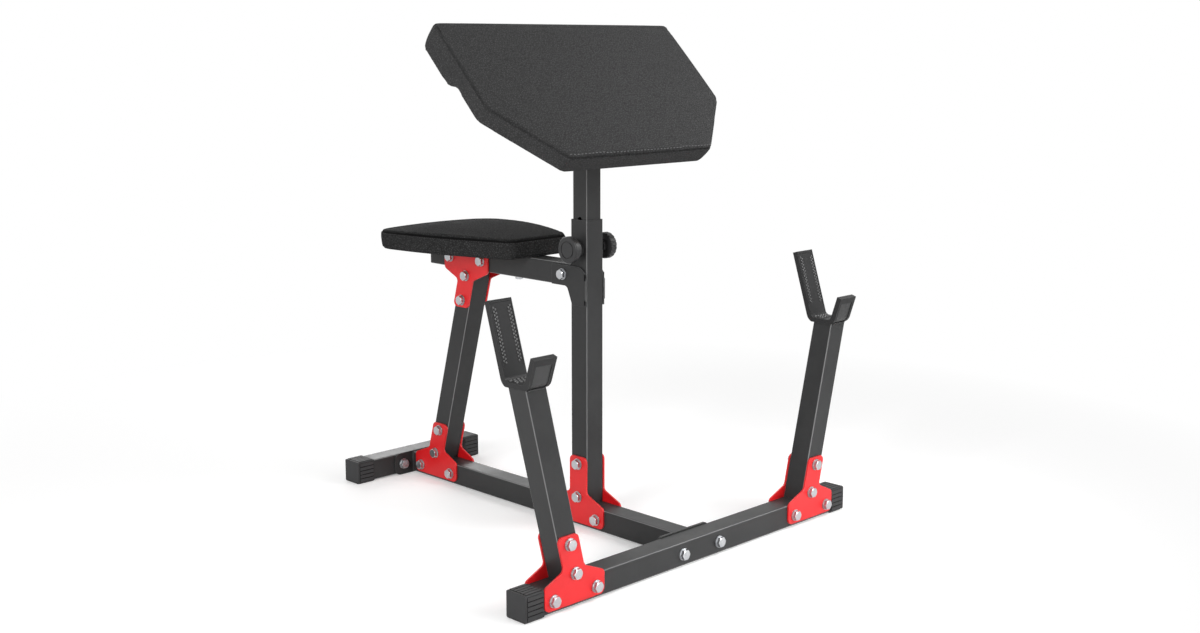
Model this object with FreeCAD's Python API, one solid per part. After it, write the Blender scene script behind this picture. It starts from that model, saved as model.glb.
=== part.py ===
import FreeCAD
import Part
import math
import os
from FreeCAD import Vector

# Preacher curl bench: a bolted frame of square tube with a seat, two bar holders and an arm rest
# that slides up and down in its post. Millimetres, +Z up, +X along the front crossbar, and the
# user sits on the +Y side. The sizes are set about the post, whose axis is x = 0 and y = 0, with
# the floor at z = 0. The finished pieces are then moved so that the origin is at the middle of
# the whole bench, on the floor.

# Square tube
tube_side = 40.0
tube_wall = 2.0
tube_corner = 2.5
tube_bore_corner = 0.6

# Push-on end caps, which are the feet
cap_wall = 1.5
cap_gap = 0.05
cap_end = 4.0
cap_length = 38.0
cap_corner = 3.0
cap_rib_height = 0.8
cap_rib_width = 6.3
cap_rib_count = 5
cap_rib_margin = 2.0

# Floor frame
crossbar_length = 782.0
crossbar_y = -252.0
foot_bar_length = 297.0
foot_bar_y = 505.0
flange_length = 128.0
flange_height = 44.0
flange_thickness = 4.0
flange_corner = 12.0
flange_bolt_spacing = 90.0

# Frame bolts with their washers and nuts
bolt_radius = 5.0
bolt_head_flats = 16.0
bolt_head_height = 6.4
bolt_stub = 3.0
nut_height = 8.0
thread_fit = 0.05
washer_radius = 10.0
washer_thickness = 2.0
hole_clearance = 0.5
head_chamfer_inset = 0.3
head_chamfer_angle = 30.0

# Gusset plates
gusset_thickness = 3.0
gusset_half_length = 63.0
gusset_below = 15.0
gusset_above = 23.0
gusset_neck = 41.0
gusset_overlap = 1.0
gusset_corner = 10.0
gusset_shoulder = 8.0
gusset_tip = 9.0
gusset_end_margin = 14.0
gusset_bolt_spacing = 90.0
gusset_axis_bolt = 32.7
gusset_bolt_pitch = 50.0
post_bolt_pitch = 60.0

# Bar holder uprights: their gussets end at the crossbar's caps, and the tubes lean outwards
upright_cap_gap = 0.0
upright_spread = 75.0
upright_top_z = 354.0

# Bar hooks and their moulded liners
hook_strip_width = 40.0
hook_thickness = 5.0
hook_bend = 9.0
hook_base_front = 24.0
hook_base_rear = 29.0
hook_arm_length = 125.0
hook_arm_lean = 17.3
hook_lip_length = 48.5
hook_lip_lean = 18.3
liner_thickness = 3.0
liner_side = 2.3
liner_gap = 0.2
liner_overlap = 1.4
liner_return = 4.0
liner_tip_return = 8.0

# Seat frame: the leg's places are those of the bolts nearest its ends
leg_flange_gap = 13.0
leg_top_y = 304.0
beam_z = 452.5
beam_past_gusset = 43.0
beam_gap = 0.5
plug_flange = 3.0
plug_depth = 16.0
plug_gap = 0.1
bracket_thickness = 3.0
bracket_drop = 32.5
bracket_inset = 3.5
bracket_front_round = 20.0
bracket_rear_y = 66.0
bracket_bolt_y = 38.0
bracket_toe = 14.0
bracket_slope_run = 13.0
bracket_slope_start = 4.0
bracket_fillet = 10.0

# Seat cushion
seat_rear_y = 434.0
seat_front_y = 121.0
seat_rear_half_width = 144.0
seat_knee_y = 290.0
seat_knee_half_width = 128.0
seat_front_half_width = 71.0
seat_rear_corner = 36.0
seat_knee_run = 75.5
seat_front_corner = 26.0
seat_height = 41.5
seat_crown_radius = 2600.0
seat_bulge = 3.0
seat_seam_inset = 1.5
seat_board_thickness = 12.0
seat_board_inset = 9.0
seat_screw_front_y = 178.0

# Screws that hold the cushion boards, and their tee nuts
screw_radius = 4.0
screw_head_flats = 13.0
screw_head_height = 5.3
screw_washer_radius = 8.0
screw_washer_thickness = 1.6
screw_past_board = 1.0
insert_wall = 1.5
insert_flange_radius = 10.0
insert_flange_thickness = 1.5
insert_gap = 0.05
soft_gap = 0.3

# Arm rest: the pad's face slopes down from its high seam, which is the reference line
pad_angle = 46.0
pad_seam_y = 62.3
pad_above_rim = 332.0
pad_half_width = 277.0
pad_front_half_width = 169.0
pad_side_length = 178.0
pad_length = 290.0
pad_nose = 12.0
pad_roll_depth = 56.0
pad_depth = 38.0
pad_nose_round = 24.0
pad_roll_round = 20.0
pad_step_round = 9.0
pad_step_gap = 3.0
pad_front_round = 6.0
pad_high_corner = 14.0
pad_side_corner = 22.0
pad_front_corner = 15.0
pad_crown = 5.0
pad_crown_radius = 6000.0
pad_face_room = 20.0
pad_bulge = 4.0
pad_seam_inset = 2.0
pad_board_thickness = 14.0
pad_board_inset = 14.0
mount_plate_thickness = 4.0
mount_plate_length = 130.0
mount_plate_half_width = 60.0
mount_plate_corner = 10.0
mount_plate_lead = 3.0
mount_screw_x = 42.0
mount_screw_margin = 20.0
mount_rib_thickness = 4.0
mount_rib_depth = 65.0
mount_rib_margin = 10.0
inner_post_gap = 0.5
inner_post_wall = 2.0
inner_post_end_margin = 40.0

# Height lock: a sprung pull pin on one side of the post
lock_above_beam = 28.5
post_above_lock = 50.3
hole_pitch = 25.0
holes_above = 2
holes_below = 4
height_hole_clearance = 0.4
pin_radius = 5.0
pin_fit = 0.06
pin_reach = 6.0
pin_collar_play = 0.3
pin_collar_thickness = 2.0
pin_collar_gap = 0.5
pin_root = 3.0
barrel_wall = 3.5
barrel_length = 22.0
barrel_end = 2.5
knob_radius = 23.5
knob_thickness = 11.0
knob_edge_round = 2.5
knob_collar_radius = 19.0
knob_collar_length = 6.0
knob_bore_gap = 0.5
knob_bore_spare = 1.5
knob_web = 4.5
knob_ring_margin = 8.0
knob_ring_width = 2.0
knob_ring_depth = 1.0
spring_wire = 1.0
spring_room = 3.0
spring_turns = 6
spring_gap = 0.1
pin_root_gap = 0.1
pin_nose_chamfer = 1.25

# Clamp screw on the other side of the post
clamp_radius = 5.0
clamp_hole_clearance = 0.5
clamp_nut_flats = 17.0
clamp_nut_length = 10.0
clamp_tip_gap = 0.1
clamp_tip_play = 0.2
clamp_tip_thickness = 1.6
clamp_spigot_radius = 2.0
clamp_spigot_length = 4.0
clamp_spigot_fit = 0.05
clamp_boss_gap = 3.0
clamp_knob_radius = 23.4
clamp_knob_thickness = 12.0
clamp_knob_round = 2.0
clamp_boss_radius = 9.5
clamp_boss_length = 7.0
clamp_stud_root = 7.0
clamp_flutes = 18
clamp_flute_radius = 1.8

half = tube_side / 2
floor_to_tube = cap_rib_height + cap_wall + cap_gap
tube_z = floor_to_tube + half
base_top = tube_z + half
inner_side = tube_side - 2 * tube_wall - 2 * inner_post_gap
inner_half = inner_side / 2
hole_radius = bolt_radius + hole_clearance
beam_top = beam_z + half
beam_bottom = beam_z - half
lock_z = beam_top + lock_above_beam
post_rim_z = lock_z + post_above_lock
pad_seam_z = post_rim_z + pad_above_rim
x_axis = Vector(1, 0, 0)
y_axis = Vector(0, 1, 0)
z_axis = Vector(0, 0, 1)
far = 2000.0
touch = 1e-6

nodes = {}
washers = []
nuts = []


# Shape helpers

def rounded_wire(corners, radii):
    """Closed wire through corners that lie in one plane, each rounded by its own radius."""
    count = len(corners)
    arcs = []
    for i in range(count):
        here = corners[i]
        back = (corners[i - 1] - here).normalize()
        ahead = (corners[(i + 1) % count] - here).normalize()
        half_turn = back.getAngle(ahead) / 2
        run = radii[i] / math.tan(half_turn)
        middle = (back + ahead).normalize() * (radii[i] / math.sin(half_turn) - radii[i])
        arcs.append((here + back * run, here + middle, here + ahead * run))
    edges = []
    for i in range(count):
        start, mid, end = arcs[i]
        if radii[i] > 0:
            edges.append(Part.Arc(start, mid, end).toShape())
        following = arcs[(i + 1) % count][0]
        if end.distanceToPoint(following) > touch:
            edges.append(Part.LineSegment(end, following).toShape())
    return Part.Wire(edges)


def plate(corners, radii, depth):
    """Flat plate with rounded corners, made thick by the vector depth."""
    return Part.Face(rounded_wire(corners, radii)).extrude(depth)


def square_prism(side, corner, length):
    """Square bar with rounded edges along +Z, standing on z = 0."""
    h = side / 2
    corners = [Vector(-h, -h, 0), Vector(h, -h, 0), Vector(h, h, 0), Vector(-h, h, 0)]
    return plate(corners, [corner] * 4, z_axis * length)


def square_tube(side, wall, corner, length):
    """Square tube along +Z, standing on z = 0."""
    bore = square_prism(side - 2 * wall, tube_bore_corner, length)
    return square_prism(side, corner, length).cut(bore)


def turned(shape, origin, direction):
    """A shape built along +Z, turned to the direction and moved to the origin."""
    placed = shape.copy()
    placed.Placement = FreeCAD.Placement(origin, FreeCAD.Rotation(z_axis, direction))
    return placed


def rod(radius, start, end):
    """Round bar between two points."""
    run = end - start
    return Part.makeCylinder(radius, run.Length, start, run)


def hex_prism(flats, height):
    """Hexagonal bar along +Z, standing on z = 0."""
    reach = flats / math.sqrt(3)
    turns = [k * math.pi / 3 for k in range(6)]
    corners = [Vector(reach * math.cos(a), reach * math.sin(a), 0) for a in turns]
    return plate(corners, [0] * len(corners), z_axis * height)


def chamfered_hex(flats, height):
    """Hexagonal bar along +Z whose upper corners are turned off, as on a bolt head."""
    top = flats / 2 - head_chamfer_inset
    spread = height / math.tan(math.radians(head_chamfer_angle))
    return hex_prism(flats, height).common(Part.makeCone(top + spread, top, height))


def drilled(shape, points, direction, radius):
    """The shape with a round hole along the direction through each point."""
    return shape.cut([rod(radius, p - direction * far, p + direction * far) for p in points])


def ring(outer, inner, start, end):
    """Round sleeve between two points."""
    return rod(outer, start, end).cut(rod(inner, start, end))


def above(z):
    """A large block that fills everything over a height."""
    return Part.makeBox(2 * far, 2 * far, far, Vector(-far, -far, z))


def below(z):
    """A large block that fills everything under a height."""
    return Part.makeBox(2 * far, 2 * far, far, Vector(-far, -far, z - far))


# Fasteners

def hex_bolt(radius, flats, head_height, shank, seat, into):
    """Hexagon bolt whose head rests at seat, with its shank along into."""
    head = turned(chamfered_hex(flats, head_height), seat, into * -1)
    return head.fuse(rod(radius, seat, seat + into * shank)).removeSplitter()


def bolted(points, into, grip):
    """Bolts through a stack of pieces, from its near face; adds their washers and nuts to the lists."""
    bolts = []
    for face in points:
        seat = face - into * washer_thickness
        shank = grip + 2 * washer_thickness + nut_height + bolt_stub
        bolts.append(hex_bolt(bolt_radius, bolt_head_flats, bolt_head_height, shank, seat, into))
        back = face + into * grip
        washers.append(ring(washer_radius, bolt_radius + thread_fit, seat, face))
        washers.append(ring(washer_radius, bolt_radius + thread_fit, back, back + into * washer_thickness))
        nut_seat = back + into * washer_thickness
        nut = turned(chamfered_hex(bolt_head_flats, nut_height), nut_seat, into)
        nuts.append(nut.cut(rod(bolt_radius + thread_fit, nut_seat, nut_seat + into * nut_height)))
    return bolts


# Gusset joints between a tube that lies and a tube that stands on it

def gusset_points(origin, along, up, lean, pitch):
    """Bolt points of a gusset joint: two in the lying tube and two on the standing tube's axis."""
    first = origin + up * gusset_axis_bolt
    axis = along * math.sin(lean) + up * math.cos(lean)
    lower = [origin + along * (side * gusset_bolt_spacing / 2) for side in (-1, 1)]
    return lower + [first, first + axis * pitch]


def gusset(origin, along, up, depth, lean, pitch):
    """One gusset plate; along is the way that the standing tube leans, and depth its thickness."""
    top = gusset_axis_bolt + pitch * math.cos(lean) + gusset_end_margin
    strip = (half + gusset_overlap) / math.cos(lean)

    def edge(height, side):
        return (height - gusset_axis_bolt) * math.tan(lean) + side * strip

    outline = [
        (-gusset_half_length, -gusset_below, gusset_corner),
        (gusset_half_length, -gusset_below, gusset_corner),
        (gusset_half_length, gusset_above, gusset_shoulder),
        (edge(gusset_neck, 1), gusset_neck, gusset_shoulder),
        (edge(top, 1), top, gusset_tip),
        (edge(top, -1), top, gusset_tip),
        (edge(gusset_neck, -1), gusset_neck, gusset_shoulder),
        (-gusset_half_length, gusset_above, gusset_shoulder),
    ]
    corners = [origin + along * a + up * b for a, b, r in outline]
    return plate(corners, [r for a, b, r in outline], depth)


def gusset_joint(names, origin, along, up, across, lean, pitch, bolt_node):
    """The two gussets of a joint and its bolts; across points from the bolt heads to the nuts."""
    points = gusset_points(origin, along, up, lean, pitch)
    near = origin - across * half
    depth = across * gusset_thickness
    plates = [gusset(near - depth, along, up, depth, lean, pitch)]
    plates.append(gusset(origin + across * half, along, up, depth, lean, pitch))
    for name, shape in zip(names, plates):
        nodes[name] = [drilled(shape, points, across, hole_radius)]
    heads = [p - across * (half + gusset_thickness) for p in points]
    nodes[bolt_node] = bolted(heads, across, tube_side + 2 * gusset_thickness)
    return points


# Floor frame

def lying_tube(length, start, direction):
    """Square tube along a level direction from its start point."""
    return turned(square_tube(tube_side, tube_wall, tube_corner, length), start, direction)


def end_cap(end, outward):
    """Ribbed push-on cap over the end of a floor tube; end is the middle of the tube's end face."""
    cavity = tube_side + 2 * cap_gap
    body_side = cavity + 2 * cap_wall
    mouth = cap_length - cap_end
    shell = square_prism(body_side, cap_corner, cap_length)
    rib_run = cap_length - cap_end - cap_rib_margin
    step = (body_side - 2 * cap_corner - cap_rib_width) / (cap_rib_count - 1)
    ribs = []
    for k in range(cap_rib_count):
        offset = (k - (cap_rib_count - 1) / 2) * step
        wide = body_side + 2 * cap_rib_height
        corner = Vector(offset - cap_rib_width / 2, -wide / 2, cap_rib_margin)
        ribs.append(Part.makeBox(cap_rib_width, wide, rib_run, corner))
        corner = Vector(-wide / 2, offset - cap_rib_width / 2, cap_rib_margin)
        ribs.append(Part.makeBox(wide, cap_rib_width, rib_run, corner))
    shape = shell.fuse(ribs).cut(square_prism(cavity, tube_corner, mouth)).removeSplitter()
    return turned(shape, end - outward * mouth, outward)


def floor_bar(bar_node, cap_nodes, length, y, bolt_points):
    """A bar across the floor with its two end caps, drilled for the spine's bolts."""
    left = Vector(-length / 2, y, tube_z)
    right = Vector(length / 2, y, tube_z)
    nodes[bar_node] = [drilled(lying_tube(length, left, x_axis), bolt_points, y_axis, hole_radius)]
    nodes[cap_nodes[0]] = [end_cap(left, x_axis * -1)]
    nodes[cap_nodes[1]] = [end_cap(right, x_axis)]


def spine_flange(face_y, outward, bolt_points):
    """Plate on the end of the spine, lying against the face of a floor bar."""
    h = flange_height / 2
    w = flange_length / 2
    spots = [(-w, -h), (w, -h), (w, h), (-w, h)]
    corners = [Vector(x, face_y, tube_z + z) for x, z in spots]
    shape = plate(corners, [flange_corner] * 4, outward * -flange_thickness)
    return drilled(shape, bolt_points, y_axis, hole_radius)


front_face = crossbar_y + half
rear_face = foot_bar_y - half
flange_x = [-flange_bolt_spacing / 2, flange_bolt_spacing / 2]
front_bolts = [Vector(x, crossbar_y, tube_z) for x in flange_x]
rear_bolts = [Vector(x, foot_bar_y, tube_z) for x in flange_x]
floor_bar("front_crossbar", ["front_cap_left", "front_cap_right"], crossbar_length, crossbar_y, front_bolts)
floor_bar("rear_foot_bar", ["rear_cap_left", "rear_cap_right"], foot_bar_length, foot_bar_y, rear_bolts)
nodes["spine_front_flange"] = [spine_flange(front_face, y_axis * -1, front_bolts)]
nodes["spine_rear_flange"] = [spine_flange(rear_face, y_axis, rear_bolts)]
spine_start = Vector(0, front_face + flange_thickness, tube_z)
spine_length = rear_face - front_face - 2 * flange_thickness
flange_grip = tube_side + flange_thickness
nodes["front_flange_bolts"] = bolted([p - y_axis * half for p in front_bolts], y_axis, flange_grip)
rear_heads = [p - y_axis * (half + flange_thickness) for p in rear_bolts]
nodes["rear_flange_bolts"] = bolted(rear_heads, y_axis, flange_grip)

# Gusset joints of the post, the seat leg and the uprights
leg_foot_y = rear_face - flange_thickness - leg_flange_gap - gusset_half_length
leg_rise = beam_z - tube_z - 2 * gusset_axis_bolt
leg_lean = math.atan2(leg_foot_y - leg_top_y, leg_rise)
cap_mouth_x = crossbar_length / 2 + cap_end - cap_length
upright_foot_x = cap_mouth_x - upright_cap_gap - gusset_half_length
upright_top_x = upright_foot_x + upright_spread
upright_lean = math.atan2(upright_spread, upright_top_z - tube_z - gusset_axis_bolt)
post_points = gusset_joint(
    ["post_gusset_left", "post_gusset_right"],
    Vector(0, 0, tube_z), y_axis, z_axis, x_axis, 0.0,
    post_bolt_pitch, "post_bolts",
)
leg_foot_points = gusset_joint(
    ["leg_base_gusset_left", "leg_base_gusset_right"],
    Vector(0, leg_foot_y, tube_z), y_axis * -1, z_axis, x_axis, leg_lean,
    gusset_bolt_pitch, "leg_base_bolts",
)
leg_top_points = gusset_joint(
    ["leg_top_gusset_left", "leg_top_gusset_right"],
    Vector(0, leg_top_y, beam_z), y_axis, z_axis * -1, x_axis, leg_lean,
    gusset_bolt_pitch, "leg_top_bolts",
)
spine = lying_tube(spine_length, spine_start, y_axis)
nodes["base_spine"] = [drilled(spine, post_points[:2] + leg_foot_points[:2], x_axis, hole_radius)]


# Post and its cheek plates for the seat beam

lock_axis_left = Vector(-half, 0, lock_z)
lock_axis_right = Vector(half, 0, lock_z)
bracket_bolt = Vector(0, bracket_bolt_y, beam_z)


def main_post():
    """The outer post, drilled for its bolts, the pull pin and the clamp screw."""
    tube = square_tube(tube_side, tube_wall, tube_corner, post_rim_z - base_top)
    tube.translate(Vector(0, 0, base_top))
    tube = drilled(tube, post_points[2:], x_axis, hole_radius)
    tube = tube.cut(rod(pin_radius + pin_fit, lock_axis_left, lock_axis_left + x_axis * half))
    clamp_hole = rod(clamp_radius + clamp_hole_clearance, lock_axis_right - x_axis * half, lock_axis_right)
    return tube.cut(clamp_hole)


def seat_bracket(face_x):
    """Cheek plate welded to one side of the post, with the beam's front end beside it."""
    low = beam_bottom - bracket_drop
    high = beam_top - bracket_inset
    outline = [
        (-half, low, 0.0),
        (bracket_toe, low, bracket_slope_start),
        (bracket_toe + bracket_slope_run, beam_bottom, bracket_fillet),
        (bracket_rear_y, beam_bottom, 0.0),
        (bracket_rear_y, high, 0.0),
        (-half, high, bracket_front_round),
    ]
    corners = [Vector(face_x, y, z) for y, z, r in outline]
    depth = x_axis * math.copysign(bracket_thickness, face_x)
    shape = plate(corners, [r for y, z, r in outline], depth)
    return drilled(shape, [bracket_bolt], x_axis, hole_radius)


nodes["main_post"] = [main_post()]
nodes["seat_bracket_left"] = [seat_bracket(-half)]
nodes["seat_bracket_right"] = [seat_bracket(half)]
bracket_head = bracket_bolt - x_axis * (half + bracket_thickness)
nodes["seat_bracket_bolt"] = bolted([bracket_head], x_axis, tube_side + 2 * bracket_thickness)


# Seat frame

def leaning_tube(foot, top, low_z, high_z):
    """Square tube through two points on its axis, cut level at two heights."""
    axis = (top - foot).normalize()
    spare = 2 * tube_side
    start = foot - axis * ((foot.z - low_z) / axis.z + spare)
    run = (high_z - low_z) / axis.z + 2 * spare
    long_tube = square_tube(tube_side, tube_wall, tube_corner, run)
    if abs(axis.x) > abs(axis.y):
        tilt = FreeCAD.Rotation(y_axis, math.degrees(math.atan2(axis.x, axis.z)))
    else:
        tilt = FreeCAD.Rotation(x_axis, -math.degrees(math.atan2(axis.y, axis.z)))
    long_tube.Placement = FreeCAD.Placement(start, tilt)
    return long_tube.cut(below(low_z)).cut(above(high_z))


leg_rear_face = half / math.cos(leg_lean)
seat_screw_room = (leg_rear_face + screw_washer_radius, gusset_bolt_spacing / 2 - bolt_radius - screw_radius)
seat_screw_rear_y = leg_top_y + sum(seat_screw_room) / 2
seat_screw_points = [Vector(0, y, beam_bottom) for y in (seat_screw_front_y, seat_screw_rear_y)]
leg = leaning_tube(leg_foot_points[2], leg_top_points[2], base_top, beam_bottom)
nodes["seat_leg"] = [drilled(leg, leg_foot_points[2:] + leg_top_points[2:], x_axis, hole_radius)]
beam_start = Vector(0, half + beam_gap, beam_z)
beam_rear_y = leg_top_y + gusset_half_length + beam_past_gusset
beam = lying_tube(beam_rear_y - half - beam_gap, beam_start, y_axis)
beam = drilled(beam, [bracket_bolt] + leg_top_points[:2], x_axis, hole_radius)
nodes["seat_beam"] = [drilled(beam, seat_screw_points, z_axis, screw_radius + hole_clearance)]


def beam_plug():
    """Moulded plug in the open rear end of the seat beam."""
    plug_side = tube_side - 2 * tube_wall - 2 * plug_gap
    stem = square_tube(plug_side, tube_wall, tube_bore_corner, plug_depth)
    flange = square_prism(tube_side, tube_corner, plug_flange)
    flange.translate(z_axis * plug_depth)
    shape = stem.fuse(flange).removeSplitter()
    return turned(shape, Vector(0, beam_rear_y - plug_depth, beam_z), y_axis)


nodes["seat_beam_plug"] = [beam_plug()]


# Cushion boards, screws and tee nuts

def tee_nut(face, up, board):
    """Threaded insert through a board from its inner face; face is on the board's outer face."""
    outer = screw_radius + insert_wall
    bore = screw_radius + thread_fit
    top = face + up * board
    sleeve = ring(outer, bore, face, top)
    flange = ring(insert_flange_radius, bore, top, top + up * insert_flange_thickness)
    return sleeve.fuse(flange).removeSplitter()


def board_screw(seat, up, grip):
    """Hexagon screw with a washer, up through a stack into a board; returns both pieces."""
    under = seat - up * screw_washer_thickness
    shank = screw_washer_thickness + grip + screw_past_board
    screw = hex_bolt(screw_radius, screw_head_flats, screw_head_height, shank, under, up)
    return [screw, ring(screw_washer_radius, screw_radius + thread_fit, under, seat)]


def insert_pocket(face, up, board):
    """Room in the foam over a tee nut."""
    top = face + up * board
    depth = insert_flange_thickness + screw_past_board + soft_gap
    return rod(insert_flange_radius + soft_gap, top - up * soft_gap, top + up * depth)


# Seat cushion

def seat_outline(inset, z):
    """Plan of the seat: wide at the rear, bowed sides, narrow at the front."""
    rear = Vector(seat_rear_half_width - inset, seat_rear_y - inset, z)
    knee = Vector(seat_knee_half_width - inset, seat_knee_y, z)
    front = Vector(seat_front_half_width - inset, seat_front_y + inset, z)
    rear_room = (rear - knee).Length - seat_rear_corner
    front_room = (front - knee).Length - seat_front_corner
    run = min(seat_knee_run, rear_room, front_room)
    bow = run * math.tan((rear - knee).getAngle(front - knee) / 2)
    right = [
        (rear.x, rear.y, seat_rear_corner),
        (knee.x, knee.y, bow),
        (front.x, front.y, seat_front_corner),
    ]
    spots = right + [(-x, y, r) for x, y, r in reversed(right)]
    corners = [Vector(x, y, z) for x, y, r in spots]
    return rounded_wire(corners, [r for x, y, r in spots])


def seat_cushion(board, pockets):
    """Crowned cushion with sides that swell between their seams, over its board."""
    low = beam_top + soft_gap
    peak = beam_top + seat_height
    levels = [(seat_bulge, low), (0.0, (low + peak) / 2), (seat_seam_inset, peak)]
    body = Part.makeLoft([seat_outline(inset, z) for inset, z in levels], True, False)
    middle = (seat_front_y + seat_rear_y) / 2
    crown = Part.makeSphere(seat_crown_radius, Vector(0, middle, peak - seat_crown_radius))
    return body.common(crown).cut([board] + pockets)


board_face = Part.Face(seat_outline(seat_board_inset, beam_top))
seat_board = board_face.extrude(z_axis * seat_board_thickness)
insert_hole = screw_radius + insert_wall + insert_gap
seat_inserts_at = [Vector(p.x, p.y, beam_top) for p in seat_screw_points]
seat_room = [insert_pocket(p, z_axis, seat_board_thickness) for p in seat_inserts_at]
nodes["seat_pad"] = [seat_cushion(seat_board, seat_room)]
nodes["seat_board"] = [drilled(seat_board, seat_inserts_at, z_axis, insert_hole)]
nodes["seat_inserts"] = [tee_nut(p, z_axis, seat_board_thickness) for p in seat_inserts_at]
seat_grip = tube_side + seat_board_thickness
nodes["seat_screws"] = [s for p in seat_screw_points for s in board_screw(p, z_axis, seat_grip)]


# Bar holders

def cradle_corners(centre_x, depth, extra):
    """Corners of the hook's bent line at a depth from its outer face: arm tip, two bends, lip tip."""
    arm = math.radians(hook_arm_lean)
    lip = math.radians(hook_lip_lean)
    z = upright_top_z + depth
    rear = crossbar_y + hook_base_rear + depth * (math.tan(arm) - 1 / math.cos(arm))
    front = crossbar_y - hook_base_front - depth * (math.tan(lip) - 1 / math.cos(lip))
    arm_way = Vector(0, math.sin(arm), math.cos(arm))
    lip_way = Vector(0, -math.sin(lip), math.cos(lip))
    arm_run = hook_arm_length + extra - depth * math.tan(math.pi / 4 - arm / 2)
    lip_run = hook_lip_length + extra - depth * math.tan(math.pi / 4 - lip / 2)
    bend_rear = Vector(centre_x, rear, z)
    bend_front = Vector(centre_x, front, z)
    return [bend_rear + arm_way * arm_run, bend_rear, bend_front, bend_front + lip_way * lip_run]


def cradle(centre_x, width, shallow, deep, extra):
    """Bent strip between two depths from the hook's outer face."""
    inset = x_axis * (-width / 2)
    outer = cradle_corners(centre_x, shallow, extra)
    inner = cradle_corners(centre_x, deep, extra)
    corners = [p + inset for p in outer + inner[::-1]]
    outer_bend = hook_bend + hook_thickness + liner_thickness - shallow
    inner_bend = hook_bend + hook_thickness + liner_thickness - deep
    radii = [0, outer_bend, outer_bend, 0, 0, inner_bend, inner_bend, 0]
    return plate(corners, radii, x_axis * width)


def hook_liner(centre_x):
    """Moulded liner on the inside of a hook, wrapped round the strip's edges and tips."""
    strip_room = hook_strip_width + 2 * liner_gap
    full = strip_room + 2 * liner_side
    skin = hook_thickness + liner_gap
    cover = cradle(centre_x, full, -liner_overlap, hook_thickness + liner_thickness, liner_thickness)
    room = cradle(centre_x, strip_room, -liner_gap, skin, liner_gap)
    open_width = strip_room - 2 * liner_return
    window = cradle(centre_x, open_width, -2 * liner_overlap, 0.0, -liner_tip_return)
    return cover.cut([room, window]).cut(below(upright_top_z))


for side, way in (("left", -1), ("right", 1)):
    foot = Vector(way * upright_foot_x, crossbar_y, tube_z)
    points = gusset_joint(
        [side + "_upright_front_gusset", side + "_upright_rear_gusset"],
        foot, x_axis * way, z_axis, y_axis, upright_lean,
        gusset_bolt_pitch, side + "_upright_bolts",
    )
    top = Vector(way * upright_top_x, crossbar_y, upright_top_z)
    upright = leaning_tube(points[2], top, base_top, upright_top_z)
    nodes[side + "_upright"] = [drilled(upright, points[2:], y_axis, hole_radius)]
    nodes["front_crossbar"] = [drilled(nodes["front_crossbar"][0], points[:2], y_axis, hole_radius)]
    nodes[side + "_bar_hook"] = [cradle(top.x, hook_strip_width, 0.0, hook_thickness, 0.0)]
    nodes[side + "_hook_liner"] = [hook_liner(top.x)]


# Arm rest, built flat and then tilted: y runs up the slope from the high seam, z out of the face

pad_tilt = FreeCAD.Placement(Vector(0, pad_seam_y, pad_seam_z), FreeCAD.Rotation(x_axis, pad_angle))
plate_low = -pad_depth - mount_plate_thickness


def tilted(shape):
    """A piece of the arm rest, moved from the flat frame to its place."""
    moved = shape.copy()
    moved.Placement = pad_tilt.multiply(moved.Placement)
    return moved


def slope_at(y):
    """Place along the slope where the plate's underside is at this y."""
    lean = math.radians(pad_angle)
    return (y - pad_seam_y + plate_low * math.sin(lean)) / math.cos(lean)


plate_high_end = slope_at(inner_half) + mount_plate_lead
plate_low_end = plate_high_end - mount_plate_length
step_end = plate_high_end + pad_step_gap
roll_end = step_end + pad_roll_depth - pad_depth


def pad_outline(inset, z):
    """Plan of the arm pad: straight sides, then corners cut back to a narrower front edge."""
    right = [
        (pad_half_width - inset, pad_nose - inset, pad_high_corner),
        (pad_half_width - inset, -pad_side_length, pad_side_corner),
        (pad_front_half_width - inset, -pad_length + inset, pad_front_corner),
    ]
    spots = right + [(-x, y, r) for x, y, r in reversed(right)]
    corners = [Vector(x, y, z) for x, y, r in spots]
    return rounded_wire(corners, [r for x, y, r in spots])


def arm_cushion(board, pockets):
    """Arm pad: a thick roll along the high edge, a thinner slab below it and a crowned face."""
    slab_low = -pad_depth + soft_gap
    levels = [(pad_bulge, -pad_roll_depth), (0.0, -pad_roll_depth / 2), (pad_seam_inset, pad_face_room)]
    body = Part.makeLoft([pad_outline(inset, z) for inset, z in levels], True, False)
    outline = [
        (pad_nose, pad_face_room, 0.0),
        (pad_nose, -pad_roll_depth, pad_roll_round),
        (roll_end, -pad_roll_depth, pad_step_round),
        (step_end, slab_low, pad_step_round),
        (-pad_length, slab_low, pad_front_round),
        (-pad_length, pad_face_room, 0.0),
    ]
    corners = [Vector(-pad_half_width, y, z) for y, z, r in outline]
    section = plate(corners, [r for y, z, r in outline], x_axis * (2 * pad_half_width))
    middle = (pad_nose - pad_length) / 2
    crown = Part.makeSphere(pad_crown_radius, Vector(0, middle, pad_crown - pad_crown_radius))
    cushion = body.common(section).common(crown)
    return cushion.cut([nose_cutter(), board] + pockets)


def nose_cutter():
    """What lies outside the round that runs from the pad's face over its high edge."""
    r = pad_nose_round
    start = Vector(-far, pad_nose - r, pad_crown)
    centre = start - z_axis * r
    tip = centre + y_axis * r
    knee = centre + (y_axis + z_axis).normalize() * r
    edges = [Part.Arc(start, knee, tip).toShape()]
    out = y_axis * r
    up = z_axis * (2 * r)
    outer = [tip, tip + out, tip + out + z_axis * r + up, start + up, start]
    for a, b in zip(outer, outer[1:]):
        edges.append(Part.LineSegment(a, b).toShape())
    return Part.Face(Part.Wire(edges)).extrude(x_axis * (2 * far))


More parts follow.
